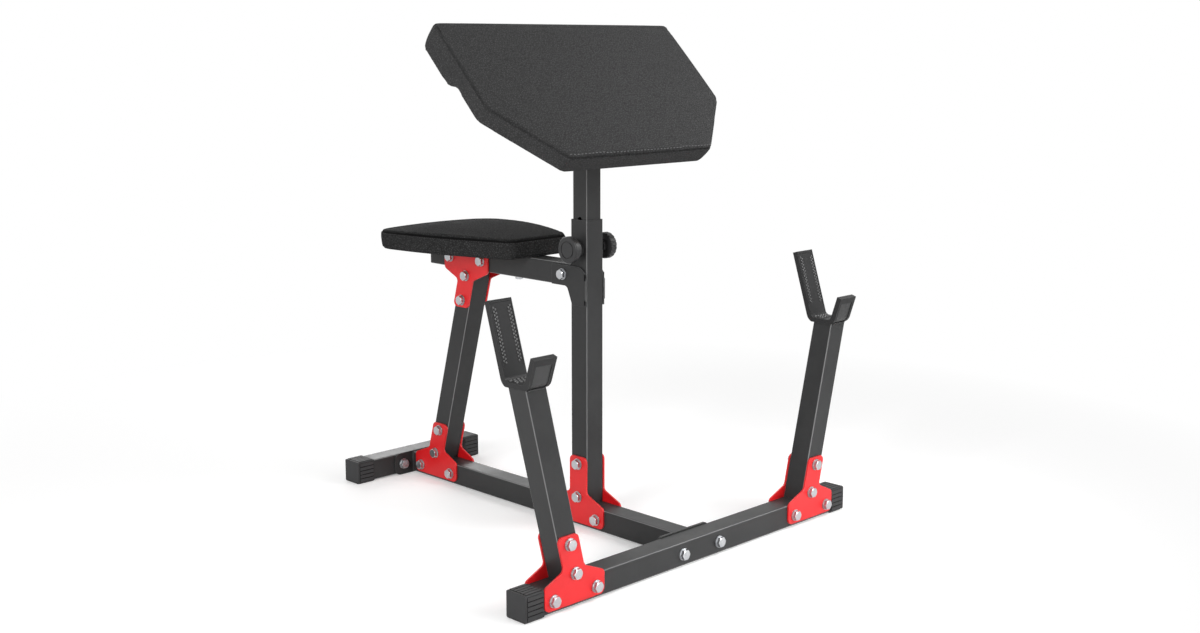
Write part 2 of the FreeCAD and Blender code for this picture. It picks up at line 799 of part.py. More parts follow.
def arm_board():
    """Plywood board let into the pad's underside below the roll."""
    inset = pad_board_inset
    high = step_end - inset
    cut_x = pad_half_width - inset
    right = [(cut_x, high), (cut_x, -pad_side_length), (pad_front_half_width - inset, -pad_length + inset)]
    spots = right + [(-x, y) for x, y in reversed(right)]
    corners = [Vector(x, y, -pad_depth) for x, y in spots]
    return plate(corners, [pad_high_corner] * len(corners), z_axis * pad_board_thickness)


def mount_plate(points):
    """Steel plate under the pad's board, on top of the inner post."""
    w = mount_plate_half_width
    spots = [(-w, plate_low_end), (w, plate_low_end), (w, plate_high_end), (-w, plate_high_end)]
    corners = [Vector(x, y, plate_low) for x, y in spots]
    shape = plate(corners, [mount_plate_corner] * 4, z_axis * mount_plate_thickness)
    return drilled(shape, points, z_axis, screw_radius + hole_clearance)


mount_rows = [plate_low_end + mount_screw_margin, plate_high_end - mount_screw_margin]
mount_points = [Vector(x, y, plate_low) for x in (-mount_screw_x, mount_screw_x) for y in mount_rows]
pad_inserts_at = [Vector(p.x, p.y, -pad_depth) for p in mount_points]
board = arm_board()
pad_room = [insert_pocket(p, z_axis, pad_board_thickness) for p in pad_inserts_at]
nodes["arm_pad"] = [tilted(arm_cushion(board, pad_room))]
nodes["arm_pad_board"] = [tilted(drilled(board, pad_inserts_at, z_axis, insert_hole))]
nodes["arm_pad_inserts"] = [tilted(tee_nut(p, z_axis, pad_board_thickness)) for p in pad_inserts_at]
pad_grip = mount_plate_thickness + pad_board_thickness
nodes["arm_pad_screws"] = [tilted(s) for p in mount_points for s in board_screw(p, z_axis, pad_grip)]
nodes["arm_mount_plate"] = [tilted(mount_plate(mount_points))]


def inner_post():
    """Sliding post: height holes in one wall, its top cut to the slope of the mounting plate."""
    low = lock_z - holes_below * hole_pitch - inner_post_end_margin
    tube = square_tube(inner_side, inner_post_wall, tube_corner, pad_seam_z - low)
    tube.translate(Vector(0, 0, low))
    over_plate = tilted(Part.makeBox(2 * far, 2 * far, far, Vector(-far, -far, plate_low)))
    tube = tube.cut(over_plate)
    holes = []
    for k in range(-holes_below, holes_above + 1):
        spot = Vector(-inner_half, 0, lock_z + k * hole_pitch)
        outside = spot - x_axis * inner_post_wall
        holes.append(rod(pin_radius + height_hole_clearance, outside, spot + x_axis * inner_half))
    return tube.cut(holes)


def mount_rib():
    """Upright web between the post's front face and the mounting plate."""
    side = x_axis * (-mount_rib_thickness / 2)
    heel = pad_tilt.multVec(Vector(0, slope_at(-inner_half), plate_low))
    toe = pad_tilt.multVec(Vector(0, plate_low_end + mount_rib_margin, plate_low))
    foot = heel - z_axis * mount_rib_depth
    corners = [p + side for p in (heel, toe, foot)]
    return plate(corners, [0, 0, 0], x_axis * mount_rib_thickness)


nodes["inner_post"] = [inner_post()]
nodes["arm_mount_rib"] = [mount_rib()]


# Pull pin, along X from the post's left face outwards

def out_left(distance):
    """Point on the lock axis at a distance outwards from the post's left face."""
    return lock_axis_left - x_axis * distance


barrel_bore = pin_radius + spring_room
barrel_radius = barrel_bore + barrel_wall
bore_floor = barrel_length + knob_bore_spare
knob_face = bore_floor + knob_web
knob_back = knob_face - knob_thickness
knob_standoff = knob_back - knob_collar_length
spring_radius = pin_radius + spring_room / 2
collar_near = pin_collar_gap
collar_far = pin_collar_gap + pin_collar_thickness


def pin_barrel():
    """Sleeve welded to the post, closed at its outer end apart from the pin's hole."""
    bore_end = out_left(barrel_length - barrel_end)
    sleeve = ring(barrel_radius, barrel_bore, out_left(0), bore_end)
    end = ring(barrel_radius, pin_radius + pin_fit, bore_end, out_left(barrel_length))
    return sleeve.fuse(end).removeSplitter()


def pin_shaft():
    """The pin, with the collar that its spring pushes on."""
    tip = Vector(-inner_half + inner_post_wall + pin_reach, 0, lock_z)
    shaft = rod(pin_radius, out_left(bore_floor + pin_root - pin_root_gap), tip)
    nose = max(shaft.Edges, key=lambda e: e.CenterOfMass.x)
    shaft = shaft.makeChamfer(pin_nose_chamfer, [nose])
    collar = rod(barrel_bore - pin_collar_play, out_left(collar_far), out_left(collar_near))
    return shaft.fuse(collar).removeSplitter()


def pin_knob():
    """Round pull knob with a ring on its face and a smaller collar behind."""
    head = rod(knob_radius, out_left(knob_face), out_left(knob_back))
    head = head.makeFillet(knob_edge_round, [e for e in head.Edges if e.Closed])
    collar = rod(knob_collar_radius, out_left(knob_back), out_left(knob_standoff))
    groove_floor = out_left(knob_face - knob_ring_depth)
    groove_radius = knob_radius - knob_ring_margin
    groove = ring(groove_radius, groove_radius - knob_ring_width, out_left(knob_face), groove_floor)
    barrel_room = rod(barrel_radius + knob_bore_gap, out_left(bore_floor), out_left(knob_standoff))
    root = rod(pin_radius, out_left(bore_floor + pin_root), out_left(bore_floor))
    return head.fuse(collar).cut([groove, barrel_room, root])


def spring_point(turn, start, pitch):
    """Point on the spring's centre line after a number of turns, and the direction there."""
    angle = 2 * math.pi * turn
    rise = pitch / (2 * math.pi * spring_radius)
    spot = out_left(start + pitch * turn) + Vector(0, math.cos(angle), math.sin(angle)) * spring_radius
    return spot, Vector(-rise, -math.sin(angle), math.cos(angle)).normalize()


def arc_from(start, control, end):
    """Arc that leaves start towards control and arrives at end from it."""
    chord_middle = (start + end) / 2
    reach = start.distanceToPoint(control)
    half_chord = start.distanceToPoint(end) / 2
    turn = math.acos(half_chord / reach)
    share = math.tan(turn / 2) / math.tan(turn)
    return Part.Arc(start, chord_middle + (control - chord_middle) * share, end).toShape()


def biarc(start, start_way, end, end_way):
    """Two arcs that join two points smoothly with the given directions."""
    gap = end - start
    both = start_way + end_way
    a = 4 - both.dot(both)
    b = 2 * gap.dot(both)
    reach = (-b + math.sqrt(b * b + 4 * a * gap.dot(gap))) / (2 * a)
    first = start + start_way * reach
    second = end - end_way * reach
    joint = (first + second) / 2
    return [arc_from(start, first, joint), arc_from(joint, second, end)]


def pin_spring():
    """Coil spring round the pin, between the barrel's end and the pin's collar."""
    start = collar_far + spring_wire / 2 + spring_gap
    end = barrel_length - barrel_end - spring_wire / 2 - spring_gap
    pitch = (end - start) / spring_turns
    stops = [spring_point(k / 4, start, pitch) for k in range(4 * spring_turns + 1)]
    edges = []
    for (a, a_way), (b, b_way) in zip(stops, stops[1:]):
        edges += biarc(a, a_way, b, b_way)
    ring_edge = Part.makeCircle(spring_wire / 2, stops[0][0], stops[0][1])
    return Part.Wire(edges).makePipeShell([Part.Wire([ring_edge])], True, False)


nodes["pull_pin_barrel"] = [pin_barrel()]
nodes["pull_pin_shaft"] = [pin_shaft()]
nodes["pull_pin_knob"] = [pin_knob()]
nodes["pull_pin_spring"] = [pin_spring()]


# Clamp screw, along X from the post's right face outwards

def out_right(distance):
    """Point on the lock axis at a distance outwards from the post's right face."""
    return lock_axis_right + x_axis * distance


tip_start = inner_half + clamp_tip_gap - half
tip_end = tip_start + clamp_tip_thickness
boss_end = clamp_nut_length + clamp_boss_gap
clamp_knob_standoff = boss_end + clamp_boss_length
clamp_face = clamp_knob_standoff + clamp_knob_thickness


def clamp_nut():
    """Hexagon nut welded to the post."""
    body = turned(hex_prism(clamp_nut_flats, clamp_nut_length), out_right(0), x_axis)
    return body.cut(rod(clamp_radius + thread_fit, out_right(0), out_right(clamp_nut_length)))


def clamp_tip():
    """Pressure tip on the end of the stud, with a spigot that the stud turns on."""
    disc = rod(clamp_radius - clamp_tip_play, out_right(tip_start), out_right(tip_end))
    spigot = rod(clamp_spigot_radius, out_right(tip_end), out_right(tip_end + clamp_spigot_length))
    return disc.fuse(spigot).removeSplitter()


def clamp_stud():
    """Threaded stud from the knob to the pressure tip."""
    start = tip_end + clamp_spigot_fit
    shaft = rod(clamp_radius, out_right(start), out_right(clamp_knob_standoff + clamp_stud_root))
    socket_end = tip_end + clamp_spigot_length + clamp_spigot_fit
    return shaft.cut(rod(clamp_spigot_radius + clamp_spigot_fit, out_right(start), out_right(socket_end)))


def clamp_knob():
    """Fluted hand knob with a boss that faces the post."""
    head = rod(clamp_knob_radius, out_right(clamp_knob_standoff), out_right(clamp_face))
    head = head.makeFillet(clamp_knob_round, [e for e in head.Edges if e.Closed])
    flutes = []
    for k in range(clamp_flutes):
        angle = 2 * math.pi * k / clamp_flutes
        offset = Vector(0, math.cos(angle), math.sin(angle)) * clamp_knob_radius
        near = out_right(clamp_knob_standoff) + offset
        flutes.append(rod(clamp_flute_radius, near, out_right(clamp_face) + offset))
    boss = rod(clamp_boss_radius, out_right(boss_end), out_right(clamp_knob_standoff))
    root = rod(clamp_radius, out_right(boss_end), out_right(clamp_knob_standoff + clamp_stud_root))
    return head.cut(flutes).fuse(boss).cut(root)


nodes["clamp_nut"] = [clamp_nut()]
nodes["clamp_tip"] = [clamp_tip()]
nodes["clamp_stud"] = [clamp_stud()]
nodes["clamp_knob"] = [clamp_knob()]

nodes["frame_washers"] = washers
nodes["frame_nuts"] = nuts

# The whole bench is centred over the origin and stands on the floor
whole = Part.makeCompound([shape for group in nodes.values() for shape in group]).optimalBoundingBox(False)
to_origin = Vector(-whole.Center.x, -whole.Center.y, -whole.ZMin)
os.makedirs("parts", exist_ok=True)
for node, group in nodes.items():
    for shape in group:
        shape.translate(to_origin)
    solids = [solid for shape in group for solid in shape.Solids]
    piece = solids[0] if len(solids) == 1 else Part.makeCompound(solids)
    if not piece.isValid():
        print("not valid:", node)
    piece.exportStep("parts/" + node + ".step")
    print(node, len(solids), round(sum(s.Volume for s in solids)))
print("size", round(whole.XLength, 2), round(whole.YLength, 2), round(whole.ZLength, 2))
print("moved by", to_origin)
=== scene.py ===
"""Looks of a preacher curl bench: its finishes, cushions, seams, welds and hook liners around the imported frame."""
import logging
import math
from contextlib import contextmanager
from dataclasses import dataclass, field, replace
from enum import Enum
from typing import Callable, Iterable, Iterator, Sequence

import bmesh
import bpy
import numpy as np
from mathutils import Matrix, Vector
from mathutils.bvhtree import BVHTree
from mathutils.kdtree import KDTree


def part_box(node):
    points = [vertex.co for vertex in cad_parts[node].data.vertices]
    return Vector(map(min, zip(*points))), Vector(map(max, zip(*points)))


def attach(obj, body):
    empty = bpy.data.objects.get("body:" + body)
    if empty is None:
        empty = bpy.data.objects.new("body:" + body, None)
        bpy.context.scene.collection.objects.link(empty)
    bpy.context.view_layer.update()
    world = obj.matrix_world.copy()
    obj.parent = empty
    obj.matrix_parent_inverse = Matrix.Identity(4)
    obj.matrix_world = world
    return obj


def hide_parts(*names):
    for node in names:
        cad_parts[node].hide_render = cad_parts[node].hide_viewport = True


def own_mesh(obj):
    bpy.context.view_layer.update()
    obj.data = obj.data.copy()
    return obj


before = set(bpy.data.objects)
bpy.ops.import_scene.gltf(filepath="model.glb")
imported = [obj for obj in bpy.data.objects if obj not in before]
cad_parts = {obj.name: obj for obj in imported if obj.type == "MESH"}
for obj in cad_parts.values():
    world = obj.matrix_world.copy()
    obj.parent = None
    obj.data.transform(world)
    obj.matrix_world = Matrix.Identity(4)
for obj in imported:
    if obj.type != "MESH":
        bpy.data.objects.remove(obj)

LOG = logging.getLogger("bench")
MM = 0.001
MERGE = 0.002 * MM
SEAM = "seam"
ARM_SLOPE = math.radians(46.0)

RGB = tuple[float, float, float]
RGBA = tuple[float, float, float, float]
XYZ = tuple[float, float, float]
Material = bpy.types.Material
Mesh = bpy.types.Mesh
NodeTree = bpy.types.NodeTree
Piece = bpy.types.Object
Socket = bpy.types.NodeSocket
Run = Sequence[Vector]
Test = Callable[[Vector], bool]


class Side(Enum):
    """The two ends of the front crossbar."""

    LEFT = -1
    RIGHT = 1

    @property
    def word(self) -> str:
        """Name of the side as the nodes use it."""
        return self.name.lower()


class Grain(Enum):
    """Kinds of fine surface relief."""

    PEBBLE = "pebbled vinyl"
    PEEL = "sprayed and baked coat"
    SPECKLE = "spark-eroded mould"


# Node trees

class Graph:
    """Adds nodes to a tree and joins them, so that a finish reads as a short list of steps."""

    def __init__(self, tree: NodeTree) -> None:
        """Keeps the tree that the nodes go into."""
        self.tree = tree

    @classmethod
    def of(cls, owner: bpy.types.ID) -> "Graph":
        """Starts the tree of a material or a world.

        Args:
            owner: The material or world.

        Returns:
            The graph of its emptied tree.
        """
        owner.use_nodes = True
        owner.node_tree.nodes.clear()
        return cls(owner.node_tree)

    def feed(self, node: bpy.types.Node, feeds: dict) -> bpy.types.Node:
        """Sets or joins a node's inputs.

        Args:
            node: The node.
            feeds: Values or output sockets, by the input's name or index.

        Returns:
            The same node.
        """
        for key, value in feeds.items():
            if isinstance(value, Socket):
                self.tree.links.new(value, node.inputs[key])
            else:
                node.inputs[key].default_value = value
        return node

    def add(self, kind: str, feeds: dict | None = None, **settings: object) -> bpy.types.Node:
        """Adds a node.

        Args:
            kind: Type of the node.
            feeds: Values or output sockets for the node's inputs, by name or index.
            settings: Properties of the node.

        Returns:
            The new node.
        """
        node = self.tree.nodes.new(kind)
        for name, value in settings.items():
            setattr(node, name, value)
        return self.feed(node, feeds or {})

    def math(self, operation: str, a: object, b: object = 0.0) -> Socket:
        """Output of a Math node on two values or sockets."""
        return self.add("ShaderNodeMath", {0: a, 1: b}, operation=operation).outputs[0]

    def times(self, a: object, b: object) -> Socket:
        """Product of two values or sockets."""
        return self.math("MULTIPLY", a, b)

    def blend(self, factor: object, a: object, b: object) -> Socket:
        """Colour between a and b by a factor."""
        return self.add("ShaderNodeMix", {0: factor, 6: a, 7: b}, data_type="RGBA").outputs[2]

    def remap(self, value: object, low: float, high: float, to_low: float = 0.0, to_high: float = 1.0) -> Socket:
        """Value taken from one range to another, held at the ends."""
        return self.add("ShaderNodeMapRange", {0: value, 1: low, 2: high, 3: to_low, 4: to_high}).outputs[0]

    def point(self) -> Socket:
        """Object coordinates, which are the bench's own metres."""
        return self.add("ShaderNodeTexCoord").outputs["Object"]

    def normal(self) -> Socket:
        """Normal of the surface, with the grain left out."""
        return self.add("ShaderNodeNewGeometry").outputs["Normal"]

    def noise(self, point: Socket, scale: object, detail: float = 2.0) -> Socket:
        """Noise value at a point."""
        return self.add("ShaderNodeTexNoise", {"Vector": point, "Scale": scale, "Detail": detail}).outputs[0]


class Effect(Graph):
    """A shader node group in the making, with named inputs and outputs."""

    SOCKETS = {float: "NodeSocketFloat", tuple: "NodeSocketColor"}

    def __init__(self, name: str, inputs: dict, outputs: dict) -> None:
        """Starts the group.

        Args:
            name: Name of the group.
            inputs: Default value of each input, by name; a tuple is a colour.
            outputs: Type of each output, by name.
        """
        super().__init__(bpy.data.node_groups.new(name, "ShaderNodeTree"))
        new_socket = self.tree.interface.new_socket
        for label, value in inputs.items():
            new_socket(label, in_out="INPUT", socket_type=self.SOCKETS[type(value)]).default_value = value
        for label, kind in outputs.items():
            new_socket(label, in_out="OUTPUT", socket_type=self.SOCKETS[kind])
        self.given = self.add("NodeGroupInput").outputs
        self.out = self.add("NodeGroupOutput")

    def give(self, **results: Socket) -> NodeTree:
        """Joins results to the group's outputs and gives back its tree."""
        self.feed(self.out, results)
        return self.tree


def pebble_group() -> NodeTree:
    """Relief of pebbled vinyl: soft cells parted by creases, with a finer tooth on top.

    Returns:
        A group with the inputs Scale and Tooth and the outputs Height and Crease.
    """
    group = Effect("Pebble relief", {"Scale": 700.0, "Tooth": 0.25}, {"Height": float, "Crease": float})
    point, scale = group.point(), group.given["Scale"]
    wander = group.add("ShaderNodeTexNoise", {"Vector": point, "Scale": 160.0, "Detail": 2.0})
    shift = group.add("ShaderNodeVectorMath", {0: wander.outputs["Color"], "Scale": 1.6 * MM}, operation="SCALE")
    moved = group.add("ShaderNodeVectorMath", {0: point, 1: shift.outputs[0]})
    feeds = {"Vector": moved.outputs[0], "Scale": scale}
    cells = group.add("ShaderNodeTexVoronoi", feeds, feature="DISTANCE_TO_EDGE")
    pebble = group.remap(cells.outputs["Distance"], 0.0, 0.32)
    tooth = group.noise(point, group.times(scale, 3.1))
    height = group.math("ADD", pebble, group.times(tooth, group.given["Tooth"]))
    return group.give(Height=height, Crease=group.math("SUBTRACT", 1.0, pebble))


def peel_group() -> NodeTree:
    """Relief of a baked powder coat: low waves with a fine grit.

    Returns:
        A group with the inputs Scale and Grit and the output Height.
    """
    group = Effect("Peel relief", {"Scale": 420.0, "Grit": 0.35}, {"Height": float})
    point, scale = group.point(), group.given["Scale"]
    grit = group.noise(point, group.times(scale, 5.0), 1.0)
    return group.give(Height=group.math("ADD", group.noise(point, scale), group.times(grit, group.given["Grit"])))


def speckle_group() -> NodeTree:
    """Relief of moulded plastic or rubber: a close, even speckle.

    Returns:
        A group with the input Scale and the output Height.
    """
    group = Effect("Speckle relief", {"Scale": 1600.0}, {"Height": float})
    point, scale = group.point(), group.given["Scale"]
    spots = group.add("ShaderNodeTexVoronoi", {"Vector": point, "Scale": scale}, feature="SMOOTH_F1")
    fine = group.noise(point, group.times(scale, 0.5), 3.0)
    return group.give(Height=group.math("ADD", spots.outputs["Distance"], fine))


def mottle_group() -> NodeTree:
    """Slow drift between two close colours.

    Returns:
        A group with the inputs Color, Tint and Scale and the outputs Color and Drift.
    """
    inputs = {"Color": (0.5, 0.5, 0.5, 1.0), "Tint": (0.4, 0.4, 0.4, 1.0), "Scale": 14.0}
    group = Effect("Colour drift", inputs, {"Color": tuple, "Drift": float})
    point, scale = group.point(), group.given["Scale"]
    close = group.noise(point, group.times(scale, 7.0))
    drift = group.remap(group.math("ADD", group.noise(point, scale, 3.0), group.times(close, 0.4)), 0.45, 0.95)
    return group.give(Color=group.blend(drift, group.given["Color"], group.given["Tint"]), Drift=drift)


def overlay_group(name: str, second: str, shade: RGBA, mask: Callable[[Effect], Socket], amount: float,
                  **sizes: float) -> NodeTree:
    """Lays a second colour over the first one where a mask is bright.

    Args:
        name: Name of the group.
        second: Name of the second colour's input.
        shade: Its default.
        mask: Adds the mask's nodes to the group.
        amount: Default strength.
        sizes: Defaults of the mask's own inputs.

    Returns:
        A group with the inputs Color, the second colour, the sizes and Amount, and the output Color.
    """
    group = Effect(name, {"Color": (0.5, 0.5, 0.5, 1.0), second: shade, **sizes, "Amount": amount}, {"Color": tuple})
    cover = group.times(mask(group), group.given["Amount"])
    return group.give(Color=group.blend(cover, group.given["Color"], group.given[second]))


def edge_mask(group: Effect) -> Socket:
    """Edges of a piece, in patches, where the edge colour goes: partly rubbed coat, partly painted edge light (paler
    on coats, darker on rubber).

    Args:
        group: Group with the input Reach.

    Returns:
        The mask.
    """
    eased = group.add("ShaderNodeBevel", {"Radius": group.given["Reach"]}, samples=4).outputs[0]
    same = group.add("ShaderNodeVectorMath", {0: eased, 1: group.normal()}, operation="DOT_PRODUCT").outputs["Value"]
    patchy = group.remap(group.noise(group.point(), 90.0, 4.0), 0.38, 0.62, 0.25)
    return group.times(group.remap(same, 0.995, 0.8), patchy)


def dust_mask(group: Effect) -> Socket:
    """Thin dust on faces that look up.

    Args:
        group: Group of the effect.

    Returns:
        The mask.
    """
    up = group.add("ShaderNodeSeparateXYZ", {0: group.normal()}).outputs["Z"]
    patchy = group.remap(group.noise(group.point(), 60.0, 5.0), 0.35, 0.75)
    return group.times(group.remap(up, 0.55, 1.0), patchy)


def corner_mask(group: Effect) -> Socket:
    """Rounded corners of square tubes, told from the flats by their normals, where a painted highlight goes.

    Args:
        group: Group of the effect.

    Returns:
        The mask.
    """
    way = group.add("ShaderNodeSeparateXYZ", {0: group.add("ShaderNodeTexCoord").outputs["Normal"]})
    x, y, z = (group.times(axis, axis) for axis in way.outputs)
    return group.remap(group.math("MAXIMUM", group.math("MAXIMUM", x, y), z), 0.90, 0.68)


def seam_mask(group: Effect) -> Socket:
    """Line where two panels of a cover meet, read from the cushion's own seam attribute, for a painted shade along the
    seam.
    """
    return group.add("ShaderNodeAttribute", attribute_name=SEAM).outputs["Fac"]


def crevice_mask(group: Effect) -> Socket:
    """Narrow grooves, found from how enclosed a point is, for painted shade in them.

    Args:
        group: Group with the input Reach.

    Returns:
        The mask.
    """
    feeds = {"Distance": group.given["Reach"]}
    shut_in = group.add("ShaderNodeAmbientOcclusion", feeds, samples=12, only_local=True).outputs["AO"]
    return group.remap(shut_in, 0.96, 0.68)


RELIEFS: dict[Grain, NodeTree] = {
    Grain.PEBBLE: pebble_group(),
    Grain.PEEL: peel_group(),
    Grain.SPECKLE: speckle_group(),
}
MOTTLE = mottle_group()
# Edge wear that also paints edge light: a paler edge colour paints a highlight on coats, a near-black one paints shade
# on rubber.
EDGE_WEAR_AND_PAINTED_LIGHT = overlay_group("Edge wear and painted edge light", "Worn", (0.6, 0.6, 0.6, 1.0), edge_mask, 0.5, Reach=1.5 * MM)
DUST = overlay_group("Settled dust", "Dust", (0.45, 0.43, 0.4, 1.0), dust_mask, 0.1)
# Painted highlight along rounded tube corners.
CORNER_HIGHLIGHT = overlay_group("Corner painted highlight", "Pale", (0.6, 0.6, 0.6, 1.0), corner_mask, 0.5)
# Painted shade along a cushion's seam.
SEAM_SHADE = overlay_group("Seam painted shade", "Shadow", (0.004, 0.004, 0.004, 1.0), seam_mask, 0.8)
# Painted shade in narrow grooves, from ambient occlusion.
CREVICE_SHADE = overlay_group("Crevice painted shade", "Shade colour", (0.004, 0.004, 0.004, 1.0), crevice_mask, 0.8, Reach=2.0 * MM)


# Finishes

def rgba(color: RGB) -> RGBA:
    """An opaque colour for a socket."""
    return (*color, 1.0)


def grey(level: float, blue: float = 0.0, green: float = 0.0) -> RGB:
    """A grey with a little more blue and green."""
    return level, level + green, level + blue


def cool(level: float) -> RGB:
    """The slightly blue black of the frame's coat."""
    return grey(level, 0.0006, 0.0002)


@dataclass(frozen=True)
class Finish:
    """A coat, plating, moulding or cover: two close colours, how rough it is, its grain, its edge wear with painted
    edge light, painted shade in creases, seams and crevices, a painted corner highlight, and its dust.
    """

    name: str
    color: RGB
    tint: RGB
    rough: float
    grain: Grain = Grain.SPECKLE
    grain_scale: float = 1600.0
    grain_height: float = 0.04 * MM
    grain_strength: float = 0.5
    drift_scale: float = 14.0
    rough_drift: float = 0.06
    metallic: float = 0.0
    specular: float = 0.5
    eased: float = 0.0
    # Edge wear that also paints light along the edges, in the second tone.
    edge_wear_and_light: float = 0.0
    worn: RGB = (0.3, 0.3, 0.3)
    edge_reach: float = 1.2 * MM
    # Painted light: corner paints a highlight on rounded tube corners; crevice paints shade in grooves, crease paints
    # shade in the grain's creases, seam paints shade along the seam line.
    corner: float = 0.0
    crevice_shade: float = 0.0
    crevice_reach: float = 1.8 * MM
    crease: float = 0.0
    seam: float = 0.0
    dust: float = 0.05

    def relief(self, graph: Graph) -> Socket:
        """Normal from the grain, over edges eased by a small round.

        Args:
            graph: Graph of the material.

        Returns:
            The normal.
        """
        grain = graph.add("ShaderNodeGroup", {"Scale": self.grain_scale}, node_tree=RELIEFS[self.grain])
        feeds = {"Height": grain.outputs["Height"], "Distance": self.grain_height, "Strength": self.grain_strength}
        if self.eased > 0.0:
            feeds["Normal"] = graph.add("ShaderNodeBevel", {"Radius": self.eased}, samples=4).outputs[0]
        return graph.add("ShaderNodeBump", feeds).outputs["Normal"]

    def colour(self, graph: Graph) -> tuple[Socket, Socket]:
        """Base colour with its drift, painted shade in creases, seams and crevices, a painted corner highlight, edge
        wear with painted edge light, and dust.

        Args:
            graph: Graph of the material.

        Returns:
            The colour and the drift mask.
        """
        worn = rgba(self.worn)
        feeds = {"Color": rgba(self.color), "Tint": rgba(self.tint), "Scale": self.drift_scale}
        drift = graph.add("ShaderNodeGroup", feeds, node_tree=MOTTLE)
        shade = drift.outputs["Color"]
        if self.crease > 0.0:
            # Painted shade in the pebble grain's creases.
            cells = graph.add("ShaderNodeGroup", {"Scale": self.grain_scale}, node_tree=RELIEFS[Grain.PEBBLE])
            shade = graph.blend(graph.times(cells.outputs["Crease"], self.crease), shade, worn)
        # Painted shade along seams and in crevices, painted highlight on corners, edge wear with painted edge light,
        # then dust.
        layers = ((SEAM_SHADE, self.seam, {}), (CREVICE_SHADE, self.crevice_shade, {"Reach": self.crevice_reach}),
                  (CORNER_HIGHLIGHT, self.corner, {"Pale": worn}), (EDGE_WEAR_AND_PAINTED_LIGHT, self.edge_wear_and_light, {"Worn": worn, "Reach": self.edge_reach}),
                  (DUST, self.dust, {}))
        for tree, amount, more in layers:
            if amount > 0.0:
                feeds = {"Color": shade, "Amount": amount, **more}
                shade = graph.add("ShaderNodeGroup", feeds, node_tree=tree).outputs["Color"]
        return shade, drift.outputs["Drift"]

    def make(self) -> Material:
        """Builds the material.

        Returns:
            The finished material.
        """
        material = bpy.data.materials.new(self.name)
        graph = Graph.of(material)
        shade, drift = self.colour(graph)
        rough = graph.remap(drift, 0.0, 1.0, self.rough - self.rough_drift, self.rough + self.rough_drift)
        feeds = {"Base Color": shade, "Roughness": rough, "Normal": self.relief(graph), "Metallic": self.metallic,
                 "Specular IOR Level": self.specular}
        shader = graph.add("ShaderNodeBsdfPrincipled", feeds)
        graph.add("ShaderNodeOutputMaterial", {"Surface": shader.outputs[0]})
        return material


@dataclass(frozen=True)
class Plywood(Finish):
    """Birch ply: long grain on its faces and thin darker layers along its edges."""

    tilt: float = 0.0
    layer_height: float = 2.8 * MM
    streaks: XYZ = (6.0, 90.0, 90.0)

    def colour(self, graph: Graph) -> tuple[Socket, Socket]:
        """Grain along X and layers across the board's thickness.

        Args:
            graph: Graph of the material.

        Returns:
            The colour and the grain mask.
        """
        feeds = {"Vector": graph.point(), "Rotation": (-self.tilt, 0.0, 0.0)}
        turned = graph.add("ShaderNodeMapping", feeds).outputs[0]
        stretched = graph.add("ShaderNodeMapping", {"Vector": turned, "Scale": self.streaks}).outputs[0]
        streak = graph.remap(graph.noise(stretched, 1.0, 6.0), 0.35, 0.7)
        depth = graph.add("ShaderNodeSeparateXYZ", {0: turned}).outputs["Z"]
        layers = graph.math("FRACT", graph.times(depth, 0.5 / self.layer_height))
        dark = graph.remap(layers, 0.47, 0.53, 0.0, 0.45)
        wood = graph.blend(streak, rgba(self.color), rgba(self.tint))
        return graph.blend(dark, wood, rgba(self.worn)), streak


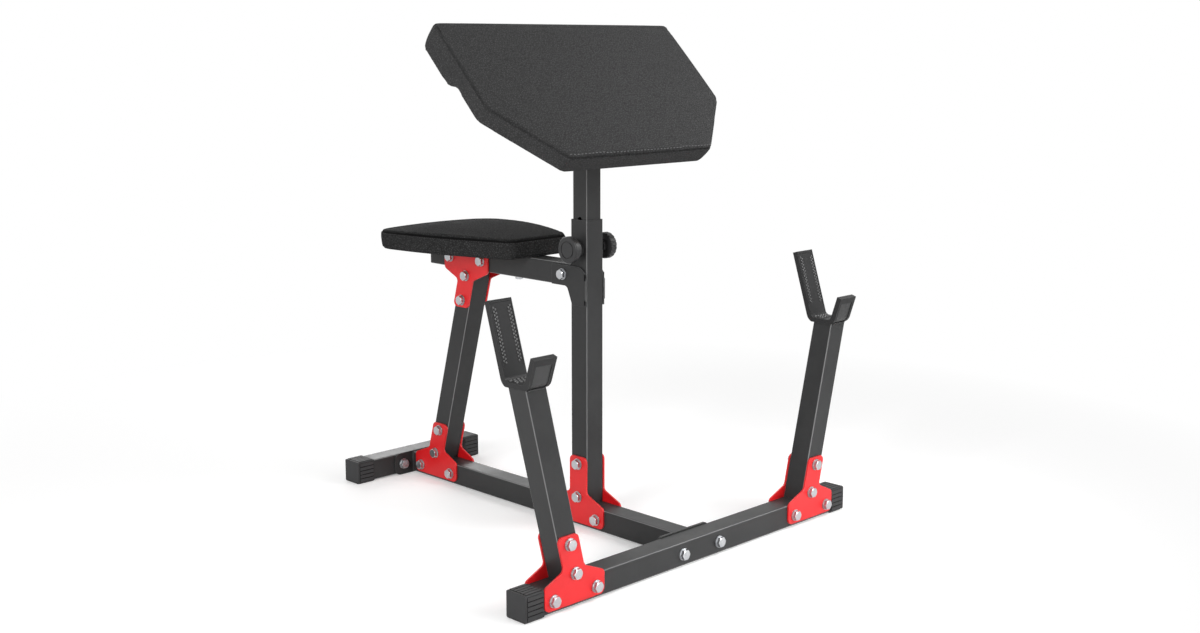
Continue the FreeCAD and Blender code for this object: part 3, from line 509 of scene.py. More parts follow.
class Palette:
    """The bench's finishes as materials."""

    def __init__(self) -> None:
        """Makes every material once; a finish that is close to another one starts from it."""
        # Paler edge colours on these coats: edge wear and a painted highlight along the edges; on the tubes a painted
        # highlight also lines the rounded corners.
        coat = Finish("black_plate_coat", cool(0.024), cool(0.031), 0.44, Grain.PEEL, 520.0, 0.06 * MM, 0.30,
                      specular=0.20, eased=0.8 * MM, edge_wear_and_light=0.6, worn=grey(0.20, 0.002), dust=0.01)
        self.black_plate = coat.make()
        self.black_tube = replace(coat, name="black_tube_coat", rough=0.42, edge_wear_and_light=0.5, corner=0.75).make()
        self.hook_coat = replace(coat, name="hook_strip_coat", color=cool(0.048), tint=cool(0.058), specular=0.22,
                                 edge_wear_and_light=0.4, worn=grey(0.22, 0.002), dust=0.02).make()
        self.red_coat = replace(coat, name="red_plate_coat", color=(0.66, 0.009, 0.012), tint=(0.59, 0.007, 0.010),
                                rough=0.36, grain_strength=0.25, specular=0.40, edge_wear_and_light=0.35,
                                worn=(0.90, 0.15, 0.14)).make()
        zinc = Finish("zinc_plating", (0.53, 0.54, 0.55), (0.40, 0.41, 0.43), 0.30, Grain.SPECKLE, 2400.0, 0.02 * MM,
                      0.3, 60.0, metallic=1.0, eased=0.3 * MM, dust=0.0)
        self.zinc = zinc.make()
        self.steel = replace(zinc, name="pin_steel", color=(0.58, 0.59, 0.60), tint=(0.48, 0.49, 0.50), rough=0.28,
                             grain_scale=2600.0, grain_strength=0.4, eased=0.0).make()
        # Caps: a near-black edge colour paints shade along their edges, and painted shade darkens their grooves.
        self.rubber = Finish("cap_rubber", grey(0.030, 0.001), grey(0.040, 0.001), 0.55, Grain.SPECKLE, 1500.0,
                             0.05 * MM, 0.4, specular=0.18, eased=0.4 * MM, edge_wear_and_light=0.9, worn=grey(0.006, 0.0001),
                             edge_reach=0.8 * MM, crevice_shade=1.0, dust=0.01).make()
        # Knob and liner: paler edges are edge wear with a painted edge highlight; painted shade darkens the knob's
        # grooves.
        self.knob = Finish("knob_plastic", grey(0.020, 0.001), grey(0.026, 0.001), 0.38, Grain.SPECKLE, 1900.0,
                           0.04 * MM, 0.4, specular=0.35, eased=0.5 * MM, edge_wear_and_light=0.5, worn=grey(0.09),
                           edge_reach=0.7 * MM, crevice_shade=0.9, dust=0.01).make()
        self.liner = Finish("liner_plastic", grey(0.019, 0.0005), grey(0.024, 0.0005), 0.46, Grain.SPECKLE, 1400.0,
                            0.05 * MM, 0.35, specular=0.20, eased=0.8 * MM, edge_wear_and_light=0.5, worn=grey(0.14),
                            dust=0.01).make()
        # A paler, glossier copy of the liner plastic for its bumps and studs: a painted highlight on them.
        self.liner_stud_highlight = Finish("liner_stud_painted_highlight", grey(0.095, 0.001), grey(0.115, 0.001), 0.30, Grain.SPECKLE,
                                 1400.0, 0.03 * MM, 0.3, specular=0.45, dust=0.01).make()
        # Painted shade in the vinyl's pebble creases and along its seam line.
        vinyl = Finish("arm_vinyl", grey(0.052, 0.0005), grey(0.061, 0.0005), 0.75, Grain.PEBBLE, 280.0, 0.4 * MM, 1.0,
                       9.0, specular=0.10, worn=grey(0.016, 0.0002), crease=0.75, seam=1.0, dust=0.0)
        self.arm_vinyl = vinyl.make()
        # The seat wears a darker copy of the arm vinyl: painted shade.
        self.seat_vinyl = replace(vinyl, name="seat_vinyl", color=grey(0.040, 0.0003), tint=grey(0.048, 0.0003),
                                  rough=0.90, grain_scale=270.0, grain_height=0.5 * MM, specular=0.03,
                                  worn=grey(0.009, 0.0001), crease=0.8).make()
        # Near-black finish of strips that paint shadow in gaps and grooves.
        self.gap = Finish("painted_shadow_black", grey(0.003), grey(0.005), 0.8, specular=0.10, dust=0.0).make()
        self.nylon = Finish("tip_nylon", (0.78, 0.77, 0.73), (0.72, 0.71, 0.66), 0.38).make()
        thread = Finish("sewing_thread", grey(0.115, 0.001), grey(0.15), 0.6, Grain.SPECKLE, 3000.0, 0.05 * MM, 0.6,
                        dust=0.0)
        self.thread = thread.make()
        self.dark_thread = replace(thread, name="dark_sewing_thread", color=grey(0.030, 0.0003),
                                   tint=grey(0.042, 0.0004), specular=0.2).make()
        ply = Plywood("seat_plywood", (0.50, 0.34, 0.19), (0.40, 0.26, 0.14), 0.6, worn=(0.22, 0.13, 0.07))
        self.seat_ply = ply.make()
        self.arm_ply = replace(ply, name="arm_plywood", tilt=ARM_SLOPE).make()


# Mesh helpers

def new_object(name: str, data: bpy.types.ID) -> Piece:
    """Puts a mesh, a camera or a lamp into the scene.

    Args:
        name: Name of the object.
        data: What the object shows.

    Returns:
        The new object.
    """
    made = bpy.data.objects.new(name, data)
    bpy.context.scene.collection.objects.link(made)
    return made


def settled(piece: Piece) -> Piece:
    """Turns a piece and its modifiers into a plain mesh.

    Args:
        piece: Object whose modifiers are finished.

    Returns:
        The same object with the evaluated mesh and no modifiers.
    """
    graph = bpy.context.evaluated_depsgraph_get()
    mesh = bpy.data.meshes.new_from_object(piece.evaluated_get(graph), preserve_all_data_layers=True, depsgraph=graph)
    old = piece.data
    piece.modifiers.clear()
    piece.data = mesh
    bpy.data.meshes.remove(old)
    return piece


@contextmanager
def edited(mesh: Mesh) -> Iterator[bmesh.types.BMesh]:
    """Opens a mesh for editing and writes it back at the end.

    Args:
        mesh: The mesh.

    Yields:
        Its edit mesh.
    """
    work = bmesh.new()
    work.from_mesh(mesh)
    yield work
    work.to_mesh(mesh)
    work.free()
    mesh.update()


def welded(*nodes: str) -> bmesh.types.BMesh:
    """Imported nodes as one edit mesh.

    Args:
        nodes: Names of the nodes.

    Returns:
        The edit mesh, with points that coincide made one.
    """
    work = bmesh.new()
    for node in nodes:
        work.from_mesh(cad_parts[node].data)
    bmesh.ops.remove_doubles(work, verts=work.verts, dist=MERGE)
    return work


def mesh_object(name: str, work: bmesh.types.BMesh, into: Matrix) -> Piece:
    """Makes an object of an edit mesh, which is freed.

    Args:
        name: Name of the object.
        work: The edit mesh.
        into: Transform of its points.

    Returns:
        The new object.
    """
    work.transform(into)
    mesh = bpy.data.meshes.new(name)
    work.to_mesh(mesh)
    work.free()
    return new_object(name, mesh)


def linked_groups(work: bmesh.types.BMesh) -> list[list[bmesh.types.BMVert]]:
    """Finds the separate solids in a mesh.

    Args:
        work: The edit mesh.

    Returns:
        The points of each solid.
    """
    left = set(work.verts)
    groups = []
    while left:
        group = [left.pop()]
        for vert in group:
            for edge in vert.link_edges:
                other = edge.other_vert(vert)
                if other in left:
                    left.remove(other)
                    group.append(other)
        groups.append(group)
    return groups


def solids_of(node: str) -> list[np.ndarray]:
    """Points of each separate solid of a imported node.

    Args:
        node: Name of the node.

    Returns:
        One array of points for each solid.
    """
    work = welded(node)
    found = [np.array([tuple(v.co) for v in group]) for group in linked_groups(work)]
    work.free()
    return sorted(found, key=lambda points: tuple(points.min(axis=0)))


def surface_of(mesh: Mesh) -> BVHTree:
    """Search tree over the faces of a mesh."""
    return BVHTree.FromPolygons([v.co for v in mesh.vertices], [p.vertices for p in mesh.polygons])


def node_surface(node: str) -> BVHTree:
    """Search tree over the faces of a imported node."""
    return surface_of(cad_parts[node].data)


def dress(material: Material, *nodes: str) -> None:
    """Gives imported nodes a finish.

    Args:
        material: The finish.
        nodes: Names of the nodes.
    """
    for name in nodes:
        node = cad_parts[name]
        if not node.material_slots:
            node.data.materials.append(material)
        for slot in node.material_slots:
            slot.material = material
        LOG.info("%s wears %s", name, material.name)


def polyline(name: str, runs: Iterable[Run], closed: bool = False) -> Piece:
    """Object of bare edges along one or more runs of points.

    Args:
        name: Name of the object.
        runs: Points of each run.
        closed: Whether each run's end joins its start.

    Returns:
        The new object.
    """
    points: list[tuple[float, ...]] = []
    edges = []
    for run in runs:
        first = len(points)
        points += [tuple(p) for p in run]
        last = len(points) - 1
        edges += [(k, k + 1) for k in range(first, last)]
        if closed:
            edges.append((last, first))
    mesh = bpy.data.meshes.new(name)
    mesh.from_pydata(points, edges, [])
    return new_object(name, mesh)


def divided(run: Run, step: float) -> list[Vector]:
    """Divides a run more finely.

    Args:
        run: Points of the run.
        step: Largest distance between two points.

    Returns:
        The same run with the points between.
    """
    dense = [run[0]]
    for a, b in zip(run, run[1:]):
        count = max(1, math.ceil((b - a).length / step))
        dense += [a.lerp(b, k / count) for k in range(1, count + 1)]
    return dense


def gap_finder(run: Run) -> Callable[[Vector], float]:
    """Makes a measure of how far a point lies from a run.

    Args:
        run: Close points of the run.

    Returns:
        Function that gives a point's distance.
    """
    tree = KDTree(len(run))
    for k, point in enumerate(run):
        tree.insert(point, k)
    tree.balance()
    return lambda point: tree.find(point)[2]


@dataclass(frozen=True)
class Plan:
    """A convex outline with rounded corners, seen along Z and listed anticlockwise."""

    corners: tuple[tuple[float, float], ...]
    radii: tuple[float, ...]
    arc_steps: int = 8
    side_step: float = 6.0 * MM
    least_radius: float = 1.5 * MM

    @classmethod
    def square(cls, side: float, corner: float) -> "Plan":
        """Section of a square tube."""
        h = side / 2
        return cls(((h, h), (-h, h), (-h, -h), (h, -h)), (corner,) * 4, 4, 10.0 * MM)

    def inset_corners(self, inset: float) -> list[Vector]:
        """Moves the corners inwards.

        Args:
            inset: How far the sides move.

        Returns:
            The corners.
        """
        spots = [Vector(corner) for corner in self.corners]
        ways = [(ahead - spot).normalized() for spot, ahead in zip(spots, spots[1:] + spots[:1])]
        inward = [Vector((-w.y, w.x)) for w in ways]
        moved = []
        for k, spot in enumerate(spots):
            a, b = inward[k - 1], inward[k]
            moved.append(spot + (a + b) * (inset / (1.0 + a.dot(b))))
        return moved

    def arc(self, back: Vector, here: Vector, ahead: Vector, radius: float, z: float) -> list[Vector]:
        """Rounds one corner.

        Args:
            back: The corner before it.
            here: The corner.
            ahead: The corner after it.
            radius: Radius of the round.
            z: Its height.

        Returns:
            Points of the round.
        """
        a, b = (back - here).normalized(), (ahead - here).normalized()
        half = a.angle(b) / 2
        centre = here + (a + b).normalized() * (radius / math.sin(half))
        start = math.atan2(*(here + a * (radius / math.tan(half)) - centre).yx)
        angles = [start + (math.pi - 2 * half) * j / self.arc_steps for j in range(self.arc_steps + 1)]
        return [Vector((centre.x + radius * math.cos(t), centre.y + radius * math.sin(t), z)) for t in angles]

    def loop(self, inset: float, z: float) -> list[Vector]:
        """Closed run along the outline.

        Args:
            inset: How far inside the outline the run lies.
            z: Its height.

        Returns:
            Points of the run, as many for every inset.
        """
        moved = self.inset_corners(inset)
        after = moved[1:] + moved[:1]
        radii = [max(radius - inset, self.least_radius) for radius in self.radii]
        arcs = [self.arc(moved[k - 1], here, after[k], radii[k], z) for k, here in enumerate(moved)]
        run: list[Vector] = []
        for k, arc in enumerate(arcs):
            n = (k + 1) % len(arcs)
            side = Vector(self.corners[n]) - Vector(self.corners[k])
            steps = max(1, round(side.length / self.side_step))
            run += arc + [arc[-1].lerp(arcs[n][0], j / steps) for j in range(1, steps)]
        return run


# Geometry node trees for what repeats along a path

class PathTree:
    """Geometry node tree over bare edges, with named sizes and a finish."""

    def __init__(self, name: str, *sizes: str) -> None:
        """Starts the tree: its sockets and the curve through the edges.

        Args:
            name: Name of the tree.
            sizes: Names of its sizes.
        """
        self.tree = bpy.data.node_groups.new(name, "GeometryNodeTree")
        new_socket = self.tree.interface.new_socket
        kinds = {"Geometry": "NodeSocketGeometry", **dict.fromkeys(sizes, "NodeSocketFloat"),
                 "Finish": "NodeSocketMaterial"}
        self.keys = {label: new_socket(label, in_out="INPUT", socket_type=kind).identifier
                     for label, kind in kinds.items()}
        new_socket("Geometry", in_out="OUTPUT", socket_type="NodeSocketGeometry")
        self.graph = Graph(self.tree)
        self.given = self.graph.add("NodeGroupInput").outputs
        self.line = self.graph.add("GeometryNodeMeshToCurve", {"Mesh": self.given["Geometry"]}).outputs[0]

    def circle(self, points: int, size: str) -> Socket:
        """Circle with one of the tree's sizes as its radius."""
        feeds = {"Resolution": points, "Radius": self.given[size]}
        return self.graph.add("GeometryNodeCurvePrimitiveCircle", feeds).outputs[0]

    def repeat(self, thing: Socket, **more: Socket) -> None:
        """Ends the tree in a thing at every Pitch of the line, with its Z along the line.

        Args:
            thing: Geometry that repeats.
            more: Further inputs of its placing.
        """
        feeds = {"Curve": self.line, "Length": self.given["Pitch"]}
        even = self.graph.add("GeometryNodeResampleCurve", feeds, mode="LENGTH").outputs[0]
        tangent = self.graph.add("GeometryNodeInputTangent").outputs[0]
        facing = self.graph.add("FunctionNodeAlignRotationToVector", {"Vector": tangent}, axis="Z").outputs[0]
        feeds = {"Points": even, "Instance": thing, "Rotation": facing, **more}
        self.close(self.graph.add("GeometryNodeInstanceOnPoints", feeds).outputs[0])

    def close(self, result: Socket) -> None:
        """Ends the tree in real geometry with its finish.

        Args:
            result: The geometry.
        """
        real = self.graph.add("GeometryNodeRealizeInstances", {0: result})
        feeds = {"Geometry": real.outputs[0], "Material": self.given["Finish"]}
        self.graph.add("NodeGroupOutput", {0: self.graph.add("GeometryNodeSetMaterial", feeds).outputs[0]})

    def lay(self, line: Piece, finish: Material, **sizes: float) -> Piece:
        """Runs the tree on a line.

        Args:
            line: Object of bare edges.
            finish: Material of the result.
            sizes: The tree's sizes by name, in metres.

        Returns:
            The line's object with the result as its mesh.
        """
        step = line.modifiers.new("path", "NODES")
        step.node_group = self.tree
        for label, value in sizes.items():
            step[self.keys[label]] = value
        step[self.keys["Finish"]] = finish
        return settled(line)


class BeadRow(PathTree):
    """Small ovals along a path: stitches, weld ripples, staples and liner bumps."""

    def __init__(self) -> None:
        """Builds the tree."""
        super().__init__("Row of beads", "Pitch", "Along", "Across")
        ball = self.graph.add("GeometryNodeMeshUVSphere", {"Segments": 8, "Rings": 5, "Radius": 0.5})
        smooth = self.graph.add("GeometryNodeSetShadeSmooth", {0: ball.outputs[0]})
        across = self.given["Across"]
        size = self.graph.add("ShaderNodeCombineXYZ", {"X": across, "Y": across, "Z": self.given["Along"]})
        self.repeat(smooth.outputs[0], Scale=size.outputs[0])


class ThreadRow(PathTree):
    """Thread turns along a bolt's axis."""

    def __init__(self) -> None:
        """Builds the tree."""
        super().__init__("Thread turns", "Pitch", "Radius", "Depth")
        feeds = {0: self.circle(24, "Radius"), 1: self.circle(4, "Depth")}
        self.repeat(self.graph.add("GeometryNodeCurveToMesh", feeds).outputs[0])


class Rail(PathTree):
    """A thin round bead along a path: raised rims, black strips of painted shadow in narrow gaps and grooves, and
    wire.
    """

    def __init__(self) -> None:
        """Builds the tree."""
        super().__init__("Thin rail", "Radius")
        feeds = {0: self.line, 1: self.circle(8, "Radius"), "Fill Caps": True}
        swept = self.graph.add("GeometryNodeCurveToMesh", feeds)
        self.close(self.graph.add("GeometryNodeSetShadeSmooth", {0: swept.outputs[0]}).outputs[0])


class Kit:
    """Finishes and path trees that every sub-assembly works with."""

    WELD_PITCH = 0.42
    WELD_ALONG = 0.8

    def __init__(self) -> None:
        """Makes the shared trees and materials."""
        self.palette = Palette()
        self.beads = BeadRow()
        self.threads = ThreadRow()
        self.rail = Rail()

    def keep(self, piece: Piece, slot: str, body: str = "bench_frame") -> Piece:
        """Makes a finished piece part of the bench.

        Args:
            piece: The piece, in place.
            slot: Slot that its finish belongs to; not used.
            body: Body that it moves with.

        Returns:
            The same piece.
        """
        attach(piece, body)
        LOG.info("%s: %d faces, on %s", piece.name, len(piece.data.polygons), body)
        return piece

    def row(self, tree: PathTree, name: str, runs: Iterable[Run], finish: Material, slot: str,
            body: str = "bench_frame", closed: bool = False, **sizes: float) -> None:
        """Lays a tree with its sizes along runs of points, closed or open, and keeps the piece."""
        self.keep(tree.lay(polyline(name, runs, closed), finish, **sizes), slot, body)

    def weld(self, name: str, runs: Iterable[Run], size: float, finish: Material | None = None,
             **where: object) -> None:
        """Lays weld beads of a width along runs of points, in the plates' coat or another one."""
        sizes = {"Pitch": self.WELD_PITCH * size, "Along": self.WELD_ALONG * size, "Across": size}
        self.row(self.beads, name, runs, finish or self.palette.black_plate, "frame_black", **sizes, **where)


# Soft goods

@dataclass(frozen=True)
class Swelling:
    """How a foam cushion is blown up from its solid."""

    voxel: float = 5.0 * MM
    shrink: float = 1.0 * MM
    smoothing: int = 2
    tuck: float = 1.5 * MM
    down: float = -0.5
    held_floor: float = 6.0 * MM
    held_seam: float = 5.0 * MM
    seam_step: float = 2.0 * MM
    pressure: float = 4.0
    quality: int = 6
    frames: int = 20
    cap: float = 2.5 * MM
    flat_under: float = -0.97
    same_way: float = 0.3
    crease_end: float = 2.5
    crown_from: float = 0.05
    crown_full: float = 0.5


@dataclass(frozen=True)
class Seam:
    """How a seam is drawn into a cushion, and how far the face stands over it."""

    depth: float
    width: float
    reach: float
    crown: float = 0.0
    crown_reach: float = 9.0 * MM
    step: float = 1.5 * MM


class Cushion:
    """A vinyl-covered foam cushion, swollen by a short cloth simulation and drawn in at its seams."""

    def __init__(self, name: str, pad: str, board: str, flat: Matrix) -> None:
        """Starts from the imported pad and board.

        Args:
            name: Name of the piece.
            pad: Node of the foam.
            board: Node of the board in it.
            flat: Frame in which the cushion lies level.
        """
        self.flat = flat
        self.swelling = Swelling()
        self.piece = mesh_object(name, welded(pad, board), flat.inverted())
        self.board = node_surface(board)
        self.solid = node_surface(pad)

    def inflate(self, path: Run, board_z: float) -> None:
        """Makes an even skin and swells it between its seam and its board.

        Args:
            path: The seam's path near the skin.
            board_z: Height of the board's underside.
        """
        self.remesh()
        near = gap_finder(self.onto(divided(path, self.swelling.seam_step)))
        down, hold, floor = self.swelling.down, self.swelling.held_seam, board_z + self.swelling.held_floor
        self.swell(lambda spot, normal: (normal.z < down and spot.z < floor) or near(spot) < hold)
        self.refine()

    def remesh(self) -> None:
        """Gives the cushion an even, slightly smaller mesh and keeps its outer skin."""
        even = self.piece.modifiers.new("even", "REMESH")
        even.mode = "VOXEL"
        even.voxel_size = self.swelling.voxel
        settled(self.piece)
        with edited(self.piece.data) as skin:
            groups = sorted(linked_groups(skin), key=len)
            bmesh.ops.delete(skin, geom=[v for group in groups[:-1] for v in group], context="VERTS")
            self.relax(skin, self.swelling.smoothing)
            skin.normal_update()
            for vert in skin.verts:
                if vert.normal.z > self.swelling.down:
                    vert.co -= vert.normal * self.swelling.shrink
                elif self.board.find_nearest(self.flat @ vert.co)[3] < self.swelling.tuck:
                    vert.co.z += self.swelling.tuck

    def relax(self, skin: bmesh.types.BMesh, times: int, zone: Sequence[bmesh.types.BMVert] | None = None) -> None:
        """Evens out the skin, or one zone of it.

        Args:
            skin: The edit mesh.
            times: How often.
            zone: Points of the zone.
        """
        verts = list(skin.verts) if zone is None else zone
        for _ in range(times):
            bmesh.ops.smooth_vert(skin, verts=verts, factor=0.5, use_axis_x=True, use_axis_y=True, use_axis_z=True)

    def swell(self, held: Callable[[Vector, Vector], bool]) -> None:
        """Blows the cushion up a little.

        Args:
            held: Whether a point with its normal stays in place.
        """
        mesh = self.piece.data
        group = self.piece.vertex_groups.new(name="held")
        group.add([v.index for v in mesh.vertices if held(v.co, v.normal)], 1.0, "REPLACE")
        cloth = self.piece.modifiers.new("swell", "CLOTH")
        cloth.settings.quality = self.swelling.quality
        cloth.settings.use_pressure = True
        cloth.settings.uniform_pressure_force = self.swelling.pressure
        cloth.settings.effector_weights.gravity = 0.0
        cloth.settings.vertex_group_mass = group.name
        cloth.point_cache.frame_start = 1
        cloth.point_cache.frame_end = self.swelling.frames
        scene = bpy.context.scene
        for step in range(1, self.swelling.frames + 1):
            scene.frame_set(step)
        blown = self.piece.evaluated_get(bpy.context.evaluated_depsgraph_get()).data
        rest = self.points(mesh)
        move = self.points(blown) - rest
        reach = np.linalg.norm(move, axis=1, keepdims=True)
        LOG.info("%s swells by up to %.1f mm", self.piece.name, reach.max() / MM)
        move *= np.minimum(1.0, self.swelling.cap / np.maximum(reach, 1e-9))
        self.piece.modifiers.clear()
        self.piece.vertex_groups.clear()
        mesh.vertices.foreach_set("co", (rest + move).ravel())
        mesh.update()
        scene.frame_set(1)

    def points(self, mesh: Mesh) -> np.ndarray:
        """Reads the points of a mesh.

        Args:
            mesh: The mesh.

        Returns:
            One row for each point.
        """
        flat = np.empty(len(mesh.vertices) * 3)
        mesh.vertices.foreach_get("co", flat)
        return flat.reshape(-1, 3)

    def refine(self) -> None:
        """Evens the swollen skin, divides it once and shades it smooth."""
        self.soothe(2)
        finer = self.piece.modifiers.new("finer", "SUBSURF")
        finer.levels = finer.render_levels = 1
        settled(self.piece)
        self.piece.data.shade_smooth()

    def fit(self, fuller: float, fills: Test, rims: Test) -> None:
        """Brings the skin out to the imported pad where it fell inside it, and fills its lower rim.

        A cover pulled over a board's edge keeps the rim tight.

        Args:
            fuller: How far the middle of the rim's round moves out past the pad.
            fills: Whether the skin at a point is brought out.
            rims: Whether a point belongs to the lower rim.
        """
        mesh = self.piece.data
        turn = self.flat.to_3x3().inverted()
        under, same = self.swelling.flat_under, self.swelling.same_way
        normals = [v.normal.copy() for v in mesh.vertices]
        for vert, normal in zip(mesh.vertices, normals):
            here = self.flat @ vert.co
            spot, way, _, _ = self.solid.find_nearest(here)
            outward = turn @ way
            if fills(vert.co) and outward.z > under and outward.dot(normal) > same:
                short = max(0.0, (spot - here).dot(way))
                if outward.z < 0.0 and rims(vert.co):
                    short += fuller * 4.0 * outward.z ** 2 * (1.0 - outward.z ** 2)
                vert.co += outward * short
        mesh.update()

    def soothe(self, times: int, where: Test | None = None) -> None:
        """Evens out the skin, or the points of it that pass a test, a number of times."""
        with edited(self.piece.data) as skin:
            self.relax(skin, times, [v for v in skin.verts if where(v.co)] if where else None)

    def onto(self, run: Run, lift: float = 0.0) -> list[Vector]:
        """Drops a run of points onto the cushion's skin.

        Args:
            run: Points near the skin, in the flat frame.
            lift: Height over the skin.

        Returns:
            The points on the skin.
        """
        tree = surface_of(self.piece.data)
        hits = [tree.find_nearest(point) for point in run]
        return [spot + normal * lift for spot, normal, _, _ in hits]

    def sew(self, path: Run, seam: Seam) -> None:
        """Draws a seam into the skin and marks it for the painted seam shade in the cover's finish.

        Args:
            path: The seam's path near the skin.
            seam: Its sizes.
        """
        run = self.onto(divided(path, seam.step))
        if seam.crown > 0.0:
            self.crown(run, seam.crown, seam.crown_reach)
        gap_to = gap_finder(run)
        with edited(self.piece.data) as skin:
            close = [e for e in skin.edges if gap_to((e.verts[0].co + e.verts[1].co) / 2) < seam.reach]
            bmesh.ops.subdivide_edges(skin, edges=close, cuts=1, use_grid_fill=True)
        self.draw_in(run, seam.depth, seam.width)
        mesh = self.piece.data
        near = mesh.attributes.new(SEAM, "FLOAT", "POINT")
        near.data.foreach_set("value", [math.exp(-((gap_to(v.co) / seam.width) ** 4)) for v in mesh.vertices])

    def push(self, offset: Callable[[Vector, Vector], float]) -> None:
        """Moves the skin along its normals.

        Args:
            offset: How far a point with its normal moves out.
        """
        mesh = self.piece.data
        normals = [v.normal.copy() for v in mesh.vertices]
        for vert, normal in zip(mesh.vertices, normals):
            vert.co += normal * offset(vert.co, normal)
        mesh.update()

    def draw_in(self, run: Run, depth: float, width: float) -> None:
        """Presses a seam or crease into the skin.

        Args:
            run: Points along it.
            depth: Its depth.
            width: Half of its width.
        """
        gap_to, end = gap_finder(run), self.swelling.crease_end * width
        self.push(lambda spot, normal: -depth * math.exp(-((gap_to(spot) / width) ** 2))
                  if gap_to(spot) < end else 0.0)

    def crown(self, run: Run, height: float, reach: float) -> None:
        """Lifts the face over its seam, in a soft roll along the edge.

        Args:
            run: The seam.
            height: How far the face stands over the seam.
            reach: Width of the roll.
        """
        gap_to, first, full = gap_finder(run), self.swelling.crown_from, self.swelling.crown_full
        self.push(lambda spot, normal: height * (1.0 - math.exp(-((gap_to(spot) / reach) ** 2)))
                  * min(1.0, normal.z / full) if normal.z > first else 0.0)

    def place(self, finish: Material) -> Piece:
        """Moves the finished cushion to its place on the bench.

        Args:
            finish: Material of the skin.

        Returns:
            The cushion's object.
        """
        self.piece.data.transform(self.flat)
        self.piece.data.materials.clear()
        self.piece.data.materials.append(finish)
        self.piece.data.update()
        return self.piece


@dataclass
class CoverHem:
    """Edge of a cushion's cover, turned under its board and stapled there."""

    kit: Kit
    finish: Material
    slot: str
    body: str
    plan: Plan
    board_z: float
    into: Matrix
    width: float = 26.0 * MM
    thickness: float = 0.9 * MM
    lap: float = 3.2 * MM
    sway: float = 0.15
    staple_inset: float = 17.0 * MM
    staple_pitch: float = 34.0 * MM
    staple_along: float = 11.0 * MM
    staple_across: float = 1.1 * MM

    def strips(self, inset: float, z: float, keeps: Test) -> list[list[Vector]]:
        """Open runs along the outline, without the stretches where something passes.

        Args:
            inset: How far inside the outline the runs lie.
            z: Their height.
            keeps: Whether the hem is there at a point of the outline.

        Returns:
            The runs, the same for every inset.
        """
        inside = self.plan.loop(inset, z)
        there = [keeps(p) for p in self.plan.loop(0.0, z)]
        first = next(k for k in range(len(there)) if there[k] and not there[k - 1])
        runs: list[list[Vector]] = []
        for k in range(first, first + len(there)):
            spot = k % len(there)
            if there[spot]:
                if not there[spot - 1]:
                    runs.append([])
                runs[-1].append(inside[spot])
        return runs

    def profile(self, under: bool) -> list[tuple[float, float]]:
        """Section of the hem as insets and heights.

        Args:
            under: Whether it goes on under the board or ends at the board's edge.

        Returns:
            Points of the closed section; of a hem that goes on, the fifth and sixth are its free edge.
        """
        z, t, top = self.board_z, self.thickness, self.board_z + self.lap
        if not under:
            return [(2.0 * MM, top), (3.5 * MM, z + 0.3 * MM), (8.8 * MM, z + 0.1 * MM), (8.8 * MM, z + 0.7 * MM),
                    (6.5 * MM, top)]
        return [(3.5 * MM, top), (6.0 * MM, z + 0.2 * MM), (10.0 * MM, z - t), (18.0 * MM, z - t),
                (self.width, z - 0.9 * t), (self.width, z - 0.1 * t), (11.0 * MM, z - 0.1 * t), (6.5 * MM, top)]

    def sheet(self, name: str, keeps: Test, under: bool = True) -> None:
        """Makes the turned-under edge as a thin closed sheet.

        Args:
            name: Name of the piece.
            keeps: Whether the hem is there at a point of the outline.
            under: Whether it goes on under the board.
        """
        profile = self.profile(under)
        rails = [self.strips(inset, height, keeps) for inset, height in profile]
        work = bmesh.new()
        for strip in range(len(rails[0])):
            rows = []
            for k in range(len(rails[0][strip])):
                wave = self.sway * (math.sin(0.9 * k) + 0.6 * math.sin(0.37 * k + 1.0))
                spots = [rail[strip][k].copy() for rail in rails]
                for j in (4, 5) if under else ():
                    spots[j] = spots[j].lerp(spots[3], wave)
                    spots[j].z = profile[j][1]
                rows.append([work.verts.new(spot) for spot in spots])
            for a, b in zip(rows, rows[1:]):
                for j in range(len(profile)):
                    n = (j + 1) % len(profile)
                    work.faces.new((a[j], a[n], b[n], b[j]))
            work.faces.new(rows[0])
            work.faces.new(rows[-1][::-1])
        bmesh.ops.recalc_face_normals(work, faces=work.faces)
        piece = mesh_object(name, work, self.into)
        piece.data.materials.append(self.finish)
        piece.data.shade_smooth()
        self.kit.keep(piece, self.slot, self.body)

    def staples(self, name: str, keeps: Test) -> None:
        """Puts a row of staples through the hem.

        Args:
            name: Name of the piece.
            keeps: Whether the hem is there at a point of the outline.
        """
        runs = self.strips(self.staple_inset, self.board_z - self.thickness, keeps)
        self.kit.row(self.kit.beads, name, [[self.into @ p for p in run] for run in runs], self.kit.palette.zinc,
                     "zinc", self.body, Pitch=self.staple_pitch, Along=self.staple_along, Across=self.staple_across)


# Sub-assemblies

